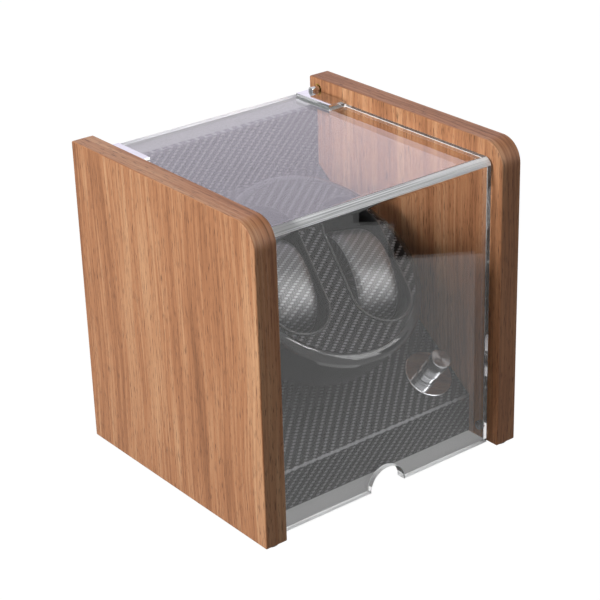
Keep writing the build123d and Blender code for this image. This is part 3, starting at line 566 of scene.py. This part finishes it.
@dataclass(frozen=True)
class TurnedMetal:
    """A turned nickel knob: fine rings round the axis that draw each light out into a fan.

    The tool's marks are finer than a pixel, so the rings are drawn 0.25 mm wide to show.
    """

    name: str = "turned_nickel"
    base: str = "C9C9CB"
    ring: str = "B7B7B9"
    ring_mm: float = 0.25
    depth_mm: float = 0.02
    roughness: float = 0.24
    anisotropy: float = 0.75

    def make(self) -> bpy.types.Material:
        """Builds the material.

        Returns:
            The material.
        """
        material, tree = blank(self.name)
        arm = add(tree, "VectorMath", "SUBTRACT", add(tree, "TexCoord").outputs["Object"], KNOB_FOOT)
        around = add(tree, "VectorMath", "CROSS_PRODUCT", NORMAL, arm)
        radius = add(tree, "VectorMath", "LENGTH", around).outputs["Value"]
        height = add(tree, "VectorMath", "DOT_PRODUCT", NORMAL, arm).outputs["Value"]
        reach = add(tree, "Math", "ADD", radius, height)
        reach = add(tree, "Math", "MULTIPLY", reach, 1.0 / (self.ring_mm * MM))
        rings = add(tree, "TexNoise", {"noise_dimensions": "1D"}, W=reach, Scale=1.0, Detail=2.0)
        share = add(tree, "MapRange", None, rings, 0.3, 0.7)
        colour = add(tree, "Mix", RGBA, Factor=share, _6=linear(self.ring), _7=linear(self.base)).outputs[2]
        shader = add(
            tree,
            "BsdfPrincipled",
            Base_Color=colour,
            Metallic=1.0,
            Roughness=self.roughness,
            Anisotropic=self.anisotropy,
            Tangent=add(tree, "VectorMath", "NORMALIZE", around),
            Normal=add(tree, "Bump", Height=rings, Strength=0.25, Distance=self.depth_mm * MM),
        )
        add(tree, "OutputMaterial", None, shader)
        return material


# Sub-assemblies


@dataclass
class Case:
    """The walnut panels with their pads and stops, and the boards behind the leather."""

    panels: tuple[str, str] = ("right_panel", "left_panel")

    def dress(self) -> None:
        """Gives the case its finishes."""
        walnut = Walnut().make()
        for node in self.panels:
            dress(node, walnut)
        # dull, fibrous and cream
        felt = Grained("pressed_felt", "CFC4B4", "BDB1A0", roughness=0.95, grain_mm=0.6, bump_mm=0.15)
        dress("foot_pads", felt.make())
        # clear and soft, with a wet look
        rubber = Grained(
            "clear_soft_rubber", "E4E8E9", "D8DDDF", roughness=0.22, grain_mm=2.0, transmission=0.75
        ).make()
        dress("cover_stops", rubber)
        # short brown fibres, quite dull
        board = Grained(
            "raw_fibreboard", "8A6A49", "7B5D3F", roughness=0.85, grain_mm=0.8, bump_mm=0.06
        ).make()
        for node in ("fascia_board", "front_skirt"):
            dress(node, board)
        # sprayed black, faintly orange-peeled
        lacquer = Grained(
            "black_lacquered_board", "17181A", "1D1E20", roughness=0.42, grain_mm=0.9, bump_mm=0.03
        ).make()
        for node in ("base_board", "back_panel"):
            dress(node, lacquer)
        # pale yellow, streaked along its length
        pine = Grained(
            "planed_pine", "C9A56F", "B98F58", roughness=0.7, grain_mm=1.2, stretch=(1.0, 18.0, 18.0)
        ).make()
        for node in ("right_cleat", "left_cleat", "right_post", "left_post"):
            dress(node, pine)


@dataclass
class Leathers:
    """The weave leathers of the board, back wall and rotor face.

    Each has its turn in degrees and the colour of its thread.
    """

    # the same leather on each piece; the thread colours differ from piece to piece as painted light and shade,
    # darker on the board and disc
    board: tuple[float, str] = (0.0, "545558")
    wall: tuple[float, str] = (0.0, "6C6D6F")
    disc: tuple[float, str] = (-math.degrees(REST_TURN), "58585B")
    disc_sheen: float = 0.35

    def dress(self) -> None:
        """Gives each skin its weave."""
        dress("fascia_leather", CarbonWeave("carbon_leather_board", Lay.SLOPE, *self.board).make())
        dress("back_leather", CarbonWeave("carbon_leather_wall", Lay.WALL, *self.wall).make())
        disc = CarbonWeave("carbon_leather_disc", Lay.DISC, *self.disc, sheen=self.disc_sheen)
        dress("face_leather", disc.make())


@dataclass
class ClearCover:
    """The acrylic cover as one bonded body, so that light passes its joint.

    Each hinge clip's notch reaches in from the sheet's side, and starts a little in front of the clip.
    """

    round_mm: float = 5.0
    ease_mm: float = 0.35
    notch_mm: float = 12.0
    through_mm: float = 30.0
    clip_in_mm: float = 1.7
    clip_wide_mm: float = 10.0
    clip_front_mm: float = 0.4
    clip_rear_mm: float = 10.0
    sharp_deg: float = 32.0
    near_mm: float = 0.01

    def build(self) -> bpy.types.Object:
        """Models the bonded sheet and pane.

        Returns:
            The cover.
        """
        top_low, top_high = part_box("cover_top")
        pane_low, pane_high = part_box("cover_front")
        deselect()
        bpy.ops.mesh.primitive_cube_add(size=1.0)
        cover = bpy.context.object
        middle = (Vector(top_low) + Vector(top_high)) / 2
        size = Vector(top_high) - Vector(top_low)
        bpy.ops.object.mode_set(mode="EDIT")
        bpy.ops.transform.resize(value=size)
        bpy.ops.transform.translate(value=middle)
        bpy.ops.mesh.select_all(action="SELECT")
        bpy.ops.mesh.bisect(plane_co=(0.0, pane_high[1], 0.0), plane_no=(0.0, 1.0, 0.0))
        self.choose_faces(cover, lambda c, n: n.z < -0.9 and c.y < pane_high[1])
        drop = (0.0, 0.0, pane_low[2] - top_low[2])
        bpy.ops.mesh.extrude_region_move(TRANSFORM_OT_translate={"value": drop})
        above, before = top_high[2] - self.near_mm * MM, pane_low[1] + self.near_mm * MM
        self.choose_edges(cover, lambda a, b: min(a.z, b.z) > above and max(a.y, b.y) < before)
        bpy.ops.mesh.bevel(offset=self.round_mm * MM, segments=8, affect="EDGES")
        bpy.ops.object.mode_set(mode="OBJECT")
        self.cut(cover, self.notch(pane_low, pane_high))
        for side in (-1.0, 1.0):
            self.cut(cover, self.clip_gap(side))
        ease = cover.modifiers.new("ease", "BEVEL")
        ease.width = self.ease_mm * MM
        ease.segments = 2
        ease.limit_method = "ANGLE"
        ease.angle_limit = math.radians(50.0)
        apply_modifiers(cover)
        pick(cover)
        bpy.ops.object.shade_smooth_by_angle(angle=math.radians(self.sharp_deg))
        # the flat faces keep their own normals, so that what is seen through them stays straight
        level = cover.modifiers.new("level", "WEIGHTED_NORMAL")
        level.weight = 100
        level.keep_sharp = True
        apply_modifiers(cover)
        return settle(cover, "acrylic_cover")

    @staticmethod
    def choose_faces(obj: bpy.types.Object, wanted: Any) -> None:
        """Selects the faces that a test accepts.

        Args:
            obj: the object, in edit mode.
            wanted: a test of a face's middle and normal.
        """
        mesh = bmesh.from_edit_mesh(obj.data)
        bpy.ops.mesh.select_all(action="DESELECT")
        for face in mesh.faces:
            if wanted(face.calc_center_median(), face.normal):
                face.select_set(True)
        bmesh.update_edit_mesh(obj.data)

    @staticmethod
    def choose_edges(obj: bpy.types.Object, wanted: Any) -> None:
        """Selects the edges that a test accepts.

        Args:
            obj: the object, in edit mode.
            wanted: a test of an edge's two ends.
        """
        mesh = bmesh.from_edit_mesh(obj.data)
        bpy.ops.mesh.select_all(action="DESELECT")
        for edge in mesh.edges:
            if wanted(edge.verts[0].co, edge.verts[1].co):
                edge.select_set(True)
        bmesh.update_edit_mesh(obj.data)

    def notch(self, pane_low: Any, pane_high: Any) -> bpy.types.Object:
        """Makes the cutter of the finger notch.

        Args:
            pane_low: the pane's lowest corner.
            pane_high: its highest corner.

        Returns:
            The cutter.
        """
        deselect()
        size = {"radius": self.notch_mm * MM, "depth": self.through_mm * MM}
        bpy.ops.mesh.primitive_cylinder_add(vertices=64, rotation=(math.pi / 2, 0.0, 0.0), **size)
        cutter = bpy.context.object
        cutter.location = (0.0, (pane_low[1] + pane_high[1]) / 2, pane_low[2])
        return cutter

    def clip_gap(self, side: float) -> bpy.types.Object:
        """Makes the cutter of one hinge clip's notch.

        Args:
            side: 1 for the right clip, -1 for the left.

        Returns:
            The cutter.
        """
        low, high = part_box("right_hinge_clip")
        deselect()
        bpy.ops.mesh.primitive_cube_add(size=1.0)
        cutter = bpy.context.object
        edge = high[0] - self.clip_in_mm * MM
        length = high[1] - low[1] + (self.clip_front_mm + self.clip_rear_mm) * MM
        cutter.scale = (self.clip_wide_mm * MM, length, self.through_mm * MM)
        middle_x = side * (edge + self.clip_wide_mm * MM / 2)
        cutter.location = (middle_x, low[1] - self.clip_front_mm * MM + length / 2, (low[2] + high[2]) / 2)
        return cutter

    @staticmethod
    def cut(obj: bpy.types.Object, cutter: bpy.types.Object) -> None:
        """Takes one form away from another.

        Args:
            obj: what is cut.
            cutter: the form that goes.
        """
        modifier = obj.modifiers.new("cut", "BOOLEAN")
        modifier.object = cutter
        modifier.operation = "DIFFERENCE"
        modifier.solver = "EXACT"
        apply_modifiers(obj)
        bpy.data.objects.remove(cutter, do_unlink=True)

    @staticmethod
    def edge(cover: bpy.types.Object, material: bpy.types.Material) -> None:
        """Gives the sheet's thickness its own finish.

        Args:
            cover: the bonded cover.
            material: the finish of its edges.
        """
        cover.data.materials.append(material)
        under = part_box("cover_top")[0][2]
        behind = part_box("cover_front")[1][1]
        for face in cover.data.polygons:
            sheet = abs(face.normal.z) > 0.99 and face.center.z > under - 0.1 * MM
            pane = abs(face.normal.y) > 0.99 and face.center.y < behind + 0.1 * MM
            side = abs(face.normal.x) > 0.95
            face.material_index = 0 if sheet or pane or side else 1

    def dress(self) -> None:
        """Builds the cover and dresses its hinges."""
        cover = self.build()
        place_piece(cover, Body.COVER, ClearAcrylic().make())
        self.edge(cover, AcrylicEdge().make())
        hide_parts("cover_top", "cover_front")
        # plated steel that mirrors sharply
        chrome = Grained(
            "bright_chrome",
            "D6D7D9",
            "CFD0D2",
            metallic=1.0,
            roughness=0.07,
            spread=0.02,
            grain_mm=3.0,
            bump_mm=0.002,
        ).make()
        for node in ("right_hinge_clip", "left_hinge_clip", "switch_collar"):
            dress(node, chrome)
        # milky and half clear
        liner = Grained(
            "clear_hinge_liner", "C9CDCE", "BFC3C4", roughness=0.35, grain_mm=2.0, transmission=0.5
        ).make()
        dress("hinge_liners", liner)


@dataclass
class Rotor:
    """The gloss bowl and rim with the two wells."""

    def dress(self) -> None:
        """Gives the rotor its finishes."""
        # polished black that mirrors the room
        gloss = Grained(
            "piano_black_plastic",
            "0B0C0E",
            "0E0F11",
            roughness=0.05,
            spread=0.015,
            grain_mm=8.0,
            bump_mm=0.001,
        ).make()
        for node in ("rotor_bowl", "rotor_rim"):
            dress(node, gloss)
        # moulded black with a soft, plain sheen
        satin = Grained(
            "satin_black_plastic", "0C0C0D", "101011", roughness=0.42, spread=0.04, bump_mm=0.01
        ).make()
        for node in ("right_well", "left_well"):
            dress(node, satin)
        dress("rotor_face", Grained("black_abs", "131416", "18191B").make())


@dataclass
class WatchPillow:
    """A leather pillow: blown up by a cloth run from the CAD form, then piped along both side seams.

    Its centre lies out along the rotor's face and high above the board. A seam's sizes are its place across
    the pillow and its half length and half depth.
    """

    node: str
    name: str
    body: Body
    side: float
    voxel_mm: float = 1.6
    shrink_mm: float = 0.7
    cap_mm: float = 1.1
    piping_mm: float = 0.42
    out_mm: float = 26.0
    high_mm: float = 36.0
    wrap_mm: float = 25.0
    seam_mm: tuple[float, float, float] = (13.4, 27.2, 18.7)
    seam_points: int = 96
    frames: int = 20
    pressure: float = 4.0
    mass: float = 0.3
    stretch_stiffness: float = 40.0
    bending_stiffness: float = 4.0
    cloth_quality: int = 6

    @property
    def centre(self) -> Vector:
        """The middle of the pillow's section, in metres."""
        return ROTOR_FOOT + (ACROSS * self.side * self.out_mm + NORMAL * self.high_mm) * MM

    def form(self) -> bpy.types.Object:
        """Copies the CAD form, closes it and draws it in a little.

        Returns:
            The form, with an even mesh.
        """
        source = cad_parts[self.node]
        pillow = source.copy()
        pillow.data = source.data.copy()
        pillow.parent = None
        pillow.matrix_world = Matrix.Identity(4)
        bpy.context.collection.objects.link(pillow)
        pick(pillow)
        bpy.ops.object.mode_set(mode="EDIT")
        bpy.ops.mesh.select_all(action="SELECT")
        bpy.ops.mesh.remove_doubles(threshold=1e-5)
        bpy.ops.transform.shrink_fatten(value=-self.shrink_mm * MM)
        bpy.ops.object.mode_set(mode="OBJECT")
        pillow.data.remesh_voxel_size = self.voxel_mm * MM
        bpy.ops.object.voxel_remesh()
        return pillow

    def inflate(self, pillow: bpy.types.Object) -> None:
        """Blows the form up with cloth under pressure, no point further than the cap.

        Args:
            pillow: the remeshed form.
        """
        start = np.array([v.co for v in pillow.data.vertices])
        cloth = pillow.modifiers.new("cloth", "CLOTH")
        cloth.settings.use_pressure = True
        cloth.settings.uniform_pressure_force = self.pressure
        cloth.settings.effector_weights.gravity = 0.0
        cloth.settings.quality = self.cloth_quality
        cloth.settings.mass = self.mass
        cloth.settings.tension_stiffness = self.stretch_stiffness
        cloth.settings.compression_stiffness = self.stretch_stiffness
        cloth.settings.bending_stiffness = self.bending_stiffness
        for step in range(1, self.frames + 1):
            bpy.context.scene.frame_set(step)
        shape = pillow.evaluated_get(bpy.context.evaluated_depsgraph_get())
        end = np.array([v.co for v in shape.data.vertices])
        pillow.modifiers.clear()
        move = end - start
        reach = np.linalg.norm(move, axis=1, keepdims=True)
        move *= np.minimum(1.0, self.cap_mm * MM / np.maximum(reach, 1e-9))
        pillow.data.vertices.foreach_set("co", (start + move).ravel())
        bpy.context.scene.frame_set(1)

    def wrap(self, pillow: bpy.types.Object) -> None:
        """Stores the leather's own flat coordinates on each point, and where its plain sides are.

        Args:
            pillow: the finished form.
        """
        layer = pillow.data.attributes.new("wrap", "FLOAT_VECTOR", "POINT")
        flat = []
        for vertex in pillow.data.vertices:
            arm = vertex.co - self.centre
            across, along, up = arm.dot(ACROSS.normalized()), arm.dot(ALONG.normalized()), arm.dot(NORMAL)
            angle = math.atan2(up, -along)
            flat += [across, angle * self.wrap_mm * MM, float(abs(across) > self.seam_mm[0] * MM)]
        layer.data.foreach_set("vector", flat)

    def piping(self, pillow: bpy.types.Object) -> bpy.types.Object:
        """Lays a thin sewn edge round both side seams.

        Args:
            pillow: the finished form.

        Returns:
            The two edges as one mesh.
        """
        surface = BVHTree.FromObject(pillow, bpy.context.evaluated_depsgraph_get())
        curve = bpy.data.curves.new("piping", "CURVE")
        curve.dimensions = "3D"
        curve.bevel_depth = self.piping_mm * MM
        curve.bevel_resolution = 3
        across, along, up = self.seam_mm
        for side in (-1.0, 1.0):
            line = curve.splines.new("POLY")
            line.points.add(self.seam_points - 1)
            line.use_cyclic_u = True
            for k, point in enumerate(line.points):
                turn = 2.0 * math.pi * k / self.seam_points
                out = ALONG.normalized() * math.cos(turn) * along + NORMAL * math.sin(turn) * up
                near = surface.find_nearest(self.centre + (ACROSS.normalized() * side * across + out) * MM)[0]
                point.co = (*near, 1.0)
        obj = bpy.data.objects.new("piping", curve)
        bpy.context.collection.objects.link(obj)
        pick(obj)
        bpy.ops.object.convert(target="MESH")
        piped = settle(bpy.context.object, self.name + "_piping")
        bpy.ops.object.shade_smooth()
        return piped

    def dress(self, leather: bpy.types.Material, edge: bpy.types.Material) -> None:
        """Builds the pillow with its piping.

        Args:
            leather: the wrapped weave.
            edge: the piping's leather.
        """
        pillow = self.form()
        self.inflate(pillow)
        smooth = pillow.modifiers.new("smooth", "SUBSURF")
        smooth.levels = smooth.render_levels = 1
        apply_modifiers(pillow)
        pick(pillow)
        bpy.ops.object.shade_smooth()
        settle(pillow, self.name)
        self.wrap(pillow)
        place_piece(pillow, self.body, leather)
        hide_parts(self.node)
        place_piece(self.piping(pillow), self.body, edge)


@dataclass
class SpeedControl:
    """The turned knob on its polished plate, with the switch behind."""

    def dress(self) -> None:
        """Gives the control its finishes."""
        dress("knob", TurnedMetal().make())
        # buffed metal that mirrors what lies round it
        plate = Grained(
            "polished_plate",
            "CDCED0",
            "C4C5C7",
            metallic=1.0,
            roughness=0.06,
            spread=0.02,
            grain_mm=2.0,
            bump_mm=0.002,
        ).make()
        dress("dial_plate", plate)


@dataclass
class Workings:
    """The drive and electrics under the board, and the fixings."""

    def dress(self) -> None:
        """Gives the hidden pieces their finishes."""
        # grey and softly bright, as drawn or stamped
        steel = Grained(
            "plain_steel", "9B9C9E", "8C8D90", metallic=1.0, roughness=0.32, grain_mm=1.5, bump_mm=0.01
        )
        # warm yellow with fine tool marks
        brass = Grained("machined_brass", "B8924D", "AA8542", metallic=1.0, roughness=0.28, bump_mm=0.01)
        # off-white and half matt
        nylon = Grained("white_nylon", "DCDCD6", "D2D2CC")
        # black with a fine moulded texture
        plastic = Grained(
            "black_moulded_plastic", "17181A", "1C1D1F", roughness=0.45, grain_mm=0.8, bump_mm=0.03
        )
        # dark grey epoxy and sleeves
        epoxy = Grained("grey_components", "3A3B3E", "2F3033", roughness=0.45)
        # green and fairly glossy
        solder_lacquer = Grained("green_solder_lacquer", "1F5A33", "1A4F2C", roughness=0.35, grain_mm=2.0)
        groups = {
            steel: (
                "case_screws",
                "back_screws",
                "hinge_pins",
                "hinge_grub_screws",
                "hub_screw",
                "spindle",
                "spindle_clip",
                "motor_shaft",
                "motor_bracket",
                "bracket_screws",
                "gear_motor",
                "motor_screws",
                "switch_shaft",
                "knob_screw",
            ),
            brass: ("hinge_bushes", "pinion", "bearing_sleeve", "sleeve_nut", "bracket_posts"),
            nylon: ("drive_gear", "pcb_spacers"),
            plastic: ("rotary_switch", "power_socket", "socket_nut"),
            epoxy: ("board_components",),
            solder_lacquer: ("circuit_board",),
        }
        for finish, nodes in groups.items():
            material = finish.make()
            for node in nodes:
                dress(node, material)


@dataclass(frozen=True)
class Softbox:
    """One softbox: its place from the point that it faces, its width and height in metres, and its watts."""

    name: str
    away: tuple[float, float, float]
    size: tuple[float, float]
    watts: float
    aim: tuple[float, float, float] = (0.0, 0.0, 0.09)
    tint: str = "FFFFFF"

    def place(self) -> None:
        """Adds the lamp."""
        data = bpy.data.lights.new(self.name, "AREA")
        data.shape = "RECTANGLE"
        data.size, data.size_y = self.size
        data.energy = self.watts
        data.color = linear(self.tint)[:3]
        lamp = bpy.data.objects.new(self.name, data)
        lamp.location = Vector(self.aim) + Vector(self.away)
        lamp.rotation_mode = "QUATERNION"
        lamp.rotation_quaternion = Vector(self.away).to_track_quat("Z", "Y")
        bpy.context.collection.objects.link(lamp)


@dataclass(frozen=True)
class ReflectedCard:
    """A card that only glossy surfaces show, at its place, turned and sized in metres."""

    name: str

    def stand(
        self, place: Vector, turn: Any, size: tuple[float, float], material: bpy.types.Material
    ) -> None:
        """Adds the card to the stage.

        Args:
            place: its middle.
            turn: its turn, as Euler angles.
            size: its width and height.
            material: its finish.
        """
        deselect()
        bpy.ops.mesh.primitive_plane_add(size=1.0)
        card = bpy.context.object
        card.scale = (*size, 1.0)
        card.rotation_euler = turn
        card.location = place
        bpy.ops.object.transform_apply(location=True, rotation=True, scale=True)
        card.data.materials.append(material)
        card.visible_camera = card.visible_diffuse = card.visible_shadow = False
        card.name = self.name


@dataclass(frozen=True)
class BlackFlag(ReflectedCard):
    """A black card on edge on the table, which keeps part of the pane from mirroring white."""

    start: tuple[float, float]
    end: tuple[float, float]
    low: float
    high: float

    def place(self, flock: bpy.types.Material) -> None:
        """Stands it up.

        Args:
            flock: its finish.
        """
        start, end = Vector((*self.start, 0.0)), Vector((*self.end, 0.0))
        along = end - start
        middle = (start + end) / 2 + Vector((0.0, 0.0, (self.low + self.high) / 2))
        turn = (math.pi / 2, 0.0, math.atan2(along.y, along.x))
        self.stand(middle, turn, (along.length, self.high - self.low), flock)


@dataclass(frozen=True)
class WhiteCard(ReflectedCard):
    """A bright card in front on the right, which gives the pillows and rim their sheen."""

    away: tuple[float, float, float] = (0.78, -1.22, 0.60)
    size: tuple[float, float] = (1.0, 1.1)
    level: float = 6.2
    unevenness: float = 0.2

    def place(self, aim: tuple[float, float, float]) -> None:
        """Stands it up.

        Args:
            aim: the point that it faces.
        """
        material, tree = blank("white_card")
        soft = add(tree, "TexNoise", None, add(tree, "TexCoord").outputs["Object"], Scale=2.0)
        low, high = self.level - self.unevenness, self.level + self.unevenness
        level = add(tree, "MapRange", None, soft, To_Min=low, To_Max=high)
        add(tree, "OutputMaterial", None, add(tree, "Emission", None, linear("FFFFFF"), level))
        away = Vector(self.away)
        self.stand(Vector(aim) + away, away.to_track_quat("Z", "Y").to_euler(), self.size, material)


@dataclass
class Studio:
    """A white table, softboxes and cards, and the camera where the photograph was taken from."""

    camera_at: tuple[float, float, float] = (-0.56622, -0.73344, 0.52221)
    azimuth: float = math.radians(-37.693)
    elevation: float = math.radians(25.062)
    roll: float = math.radians(-1.761)
    lens: float = 109.39
    sensor: float = 36.0
    middle: tuple[float, float, float] = (0.0, 0.0, 0.09)
    room_level: float = 0.012
    mirrored_level: float = 0.84
    table_size: float = 4.0
    table_level: float = 1.12
    table_glow: float = 0.9
    table_glow_through: float = 0.18
    flags: tuple[BlackFlag, ...] = (
        BlackFlag("right_flag", (0.208, -0.308), (0.330, -0.232), 0.0, 0.2),
        BlackFlag("upper_flag", (0.187, -0.321), (0.208, -0.308), 0.028, 0.2),
    )
    softboxes: tuple[Softbox, ...] = (
        Softbox("side_softbox", (-1.45, -0.02, 0.68), (0.3, 0.2), 29.0),
        Softbox("front_softbox", (0.38, -0.90, 1.20), (0.25, 0.2), 6.8),
        Softbox("rear_softbox", (0.83, 1.08, 0.64), (2.2, 1.5), 4.9, aim=(0.0, 0.0, 0.175), tint="E6D2FF"),
    )

    def camera(self) -> None:
        """Places the camera."""
        az, el = self.azimuth, self.elevation
        ahead = Vector((-math.sin(az) * math.cos(el), math.cos(az) * math.cos(el), -math.sin(el)))
        right = ahead.cross(Vector((0.0, 0.0, 1.0))).normalized()
        up = right.cross(ahead)
        right_rolled = right * math.cos(self.roll) + up * math.sin(self.roll)
        up_rolled = up * math.cos(self.roll) - right * math.sin(self.roll)
        data = bpy.data.cameras.new("camera")
        data.lens = self.lens
        data.sensor_width = self.sensor
        data.clip_start = 0.01
        camera = bpy.data.objects.new("camera", data)
        turn = Matrix((right_rolled, up_rolled, -ahead)).transposed().to_4x4()
        camera.matrix_world = Matrix.Translation(self.camera_at) @ turn
        bpy.context.collection.objects.link(camera)
        bpy.context.scene.camera = camera

    def shown(self, tree: bpy.types.NodeTree) -> bpy.types.Node:
        """How bright the white surroundings look: full seen straight or through acrylic, less in reflections.

        They light nothing, since rays that have met a matt surface don't count.

        Args:
            tree: the tree that it goes into.

        Returns:
            The level, from 0 to 1.
        """
        path = add(tree, "LightPath").outputs
        bent = add(tree, "Math", "MAXIMUM", path["Is Glossy Ray"], path["Is Transmission Ray"])
        seen = add(tree, "Math", "MAXIMUM", path["Is Camera Ray"], bent)
        seen = add(tree, "Math", "MULTIPLY", seen, add(tree, "Math", "LESS_THAN", path["Diffuse Depth"], 0.5))
        mirrored = add(tree, "Math", "GREATER_THAN", path["Glossy Depth"], 0.5)
        level = add(tree, "Mix", Factor=mirrored, _2=1.0, _3=self.mirrored_level)
        return add(tree, "Math", "MULTIPLY", seen, level)

    def world(self) -> None:
        """Lights the room softly and shows it white."""
        world = bpy.data.worlds.new("studio")
        bpy.context.scene.world = world
        world.use_nodes = True
        tree = world.node_tree
        tree.nodes.clear()
        level = add(tree, "Math", "MAXIMUM", self.shown(tree), self.room_level)
        add(tree, "OutputWorld", None, add(tree, "Background", None, linear("FFFFFF"), level))

    def table(self) -> None:
        """Makes the white table top, which keeps a soft shadow under the case."""
        deselect()
        bpy.ops.mesh.primitive_plane_add(size=1.0)
        table = bpy.context.object
        bpy.ops.object.mode_set(mode="EDIT")
        bpy.ops.transform.resize(value=(self.table_size, self.table_size, 1.0))
        bpy.ops.mesh.subdivide(number_cuts=3)
        bpy.ops.object.mode_set(mode="OBJECT")
        material, tree = blank("white_laminate")
        noise = add(tree, "TexNoise", None, add(tree, "TexCoord").outputs["Object"], Scale=40.0, Detail=2.0)
        tone = add(tree, "MapRange", None, noise, 0.3, 0.7)
        colour = add(tree, "Mix", RGBA, Factor=tone, _6=linear("454545"), _7=linear("494949")).outputs[2]
        matt = add(tree, "BsdfDiffuse", None, colour)
        shown = self.shown(tree)
        strength = add(tree, "Math", "MULTIPLY", shown, self.table_level)
        glow = add(tree, "Emission", None, linear("FFFFFF"), strength)
        # straight through the pane the table shows less of its glow, a painted shade on top of its real
        # shadow; its mirror image in the pane keeps the glow
        path = add(tree, "LightPath").outputs
        straight = add(tree, "Math", "LESS_THAN", path["Glossy Depth"], 0.5)
        through = add(tree, "Math", "MULTIPLY", path["Is Transmission Ray"], straight)
        share = add(tree, "Mix", Factor=through, _2=self.table_glow, _3=self.table_glow_through)
        share = add(tree, "Math", "MULTIPLY", add(tree, "Math", "GREATER_THAN", shown, 0.0), share)
        add(tree, "OutputMaterial", None, add(tree, "MixShader", None, share, matt, glow))
        table.data.materials.append(material)
        table.name = "table"

    def build(self) -> None:
        """Sets the studio up."""
        self.camera()
        bpy.context.scene.view_settings.view_transform = "Standard"
        self.world()
        self.table()
        flock = Grained("black_flock", "020202", "050505", roughness=0.95, grain_mm=2.0).make()
        for flag in self.flags:
            flag.place(flock)
        WhiteCard("white_card").place(self.middle)
        for softbox in self.softboxes:
            softbox.place()


def main() -> None:
    """Dresses the winder, piece by piece, and lights it."""
    logging.basicConfig(level=logging.INFO, format="%(name)s: %(message)s")
    Studio().build()
    Case().dress()
    Leathers().dress()
    ClearCover().dress()
    Rotor().dress()
    leather = CarbonWeave(
        "carbon_leather_pillow",
        Lay.WRAP,
        0.0,
        "626366",
        "333436",
        roughness=0.36,
        sheen=0.85,
        dull=0.55,
        ior=1.8,
    ).make()
    edge = Grained(
        "pillow_edge_leather", "1B1E20", "232729", roughness=0.45, grain_mm=0.7, bump_mm=0.05
    ).make()
    WatchPillow("right_pillow", "watch_pillow_right", Body.RIGHT_CUSHION, 1.0).dress(leather, edge)
    WatchPillow("left_pillow", "watch_pillow_left", Body.LEFT_CUSHION, -1.0).dress(leather, edge)
    SpeedControl().dress()
    Workings().dress()


if __name__ == "__main__":
    main()
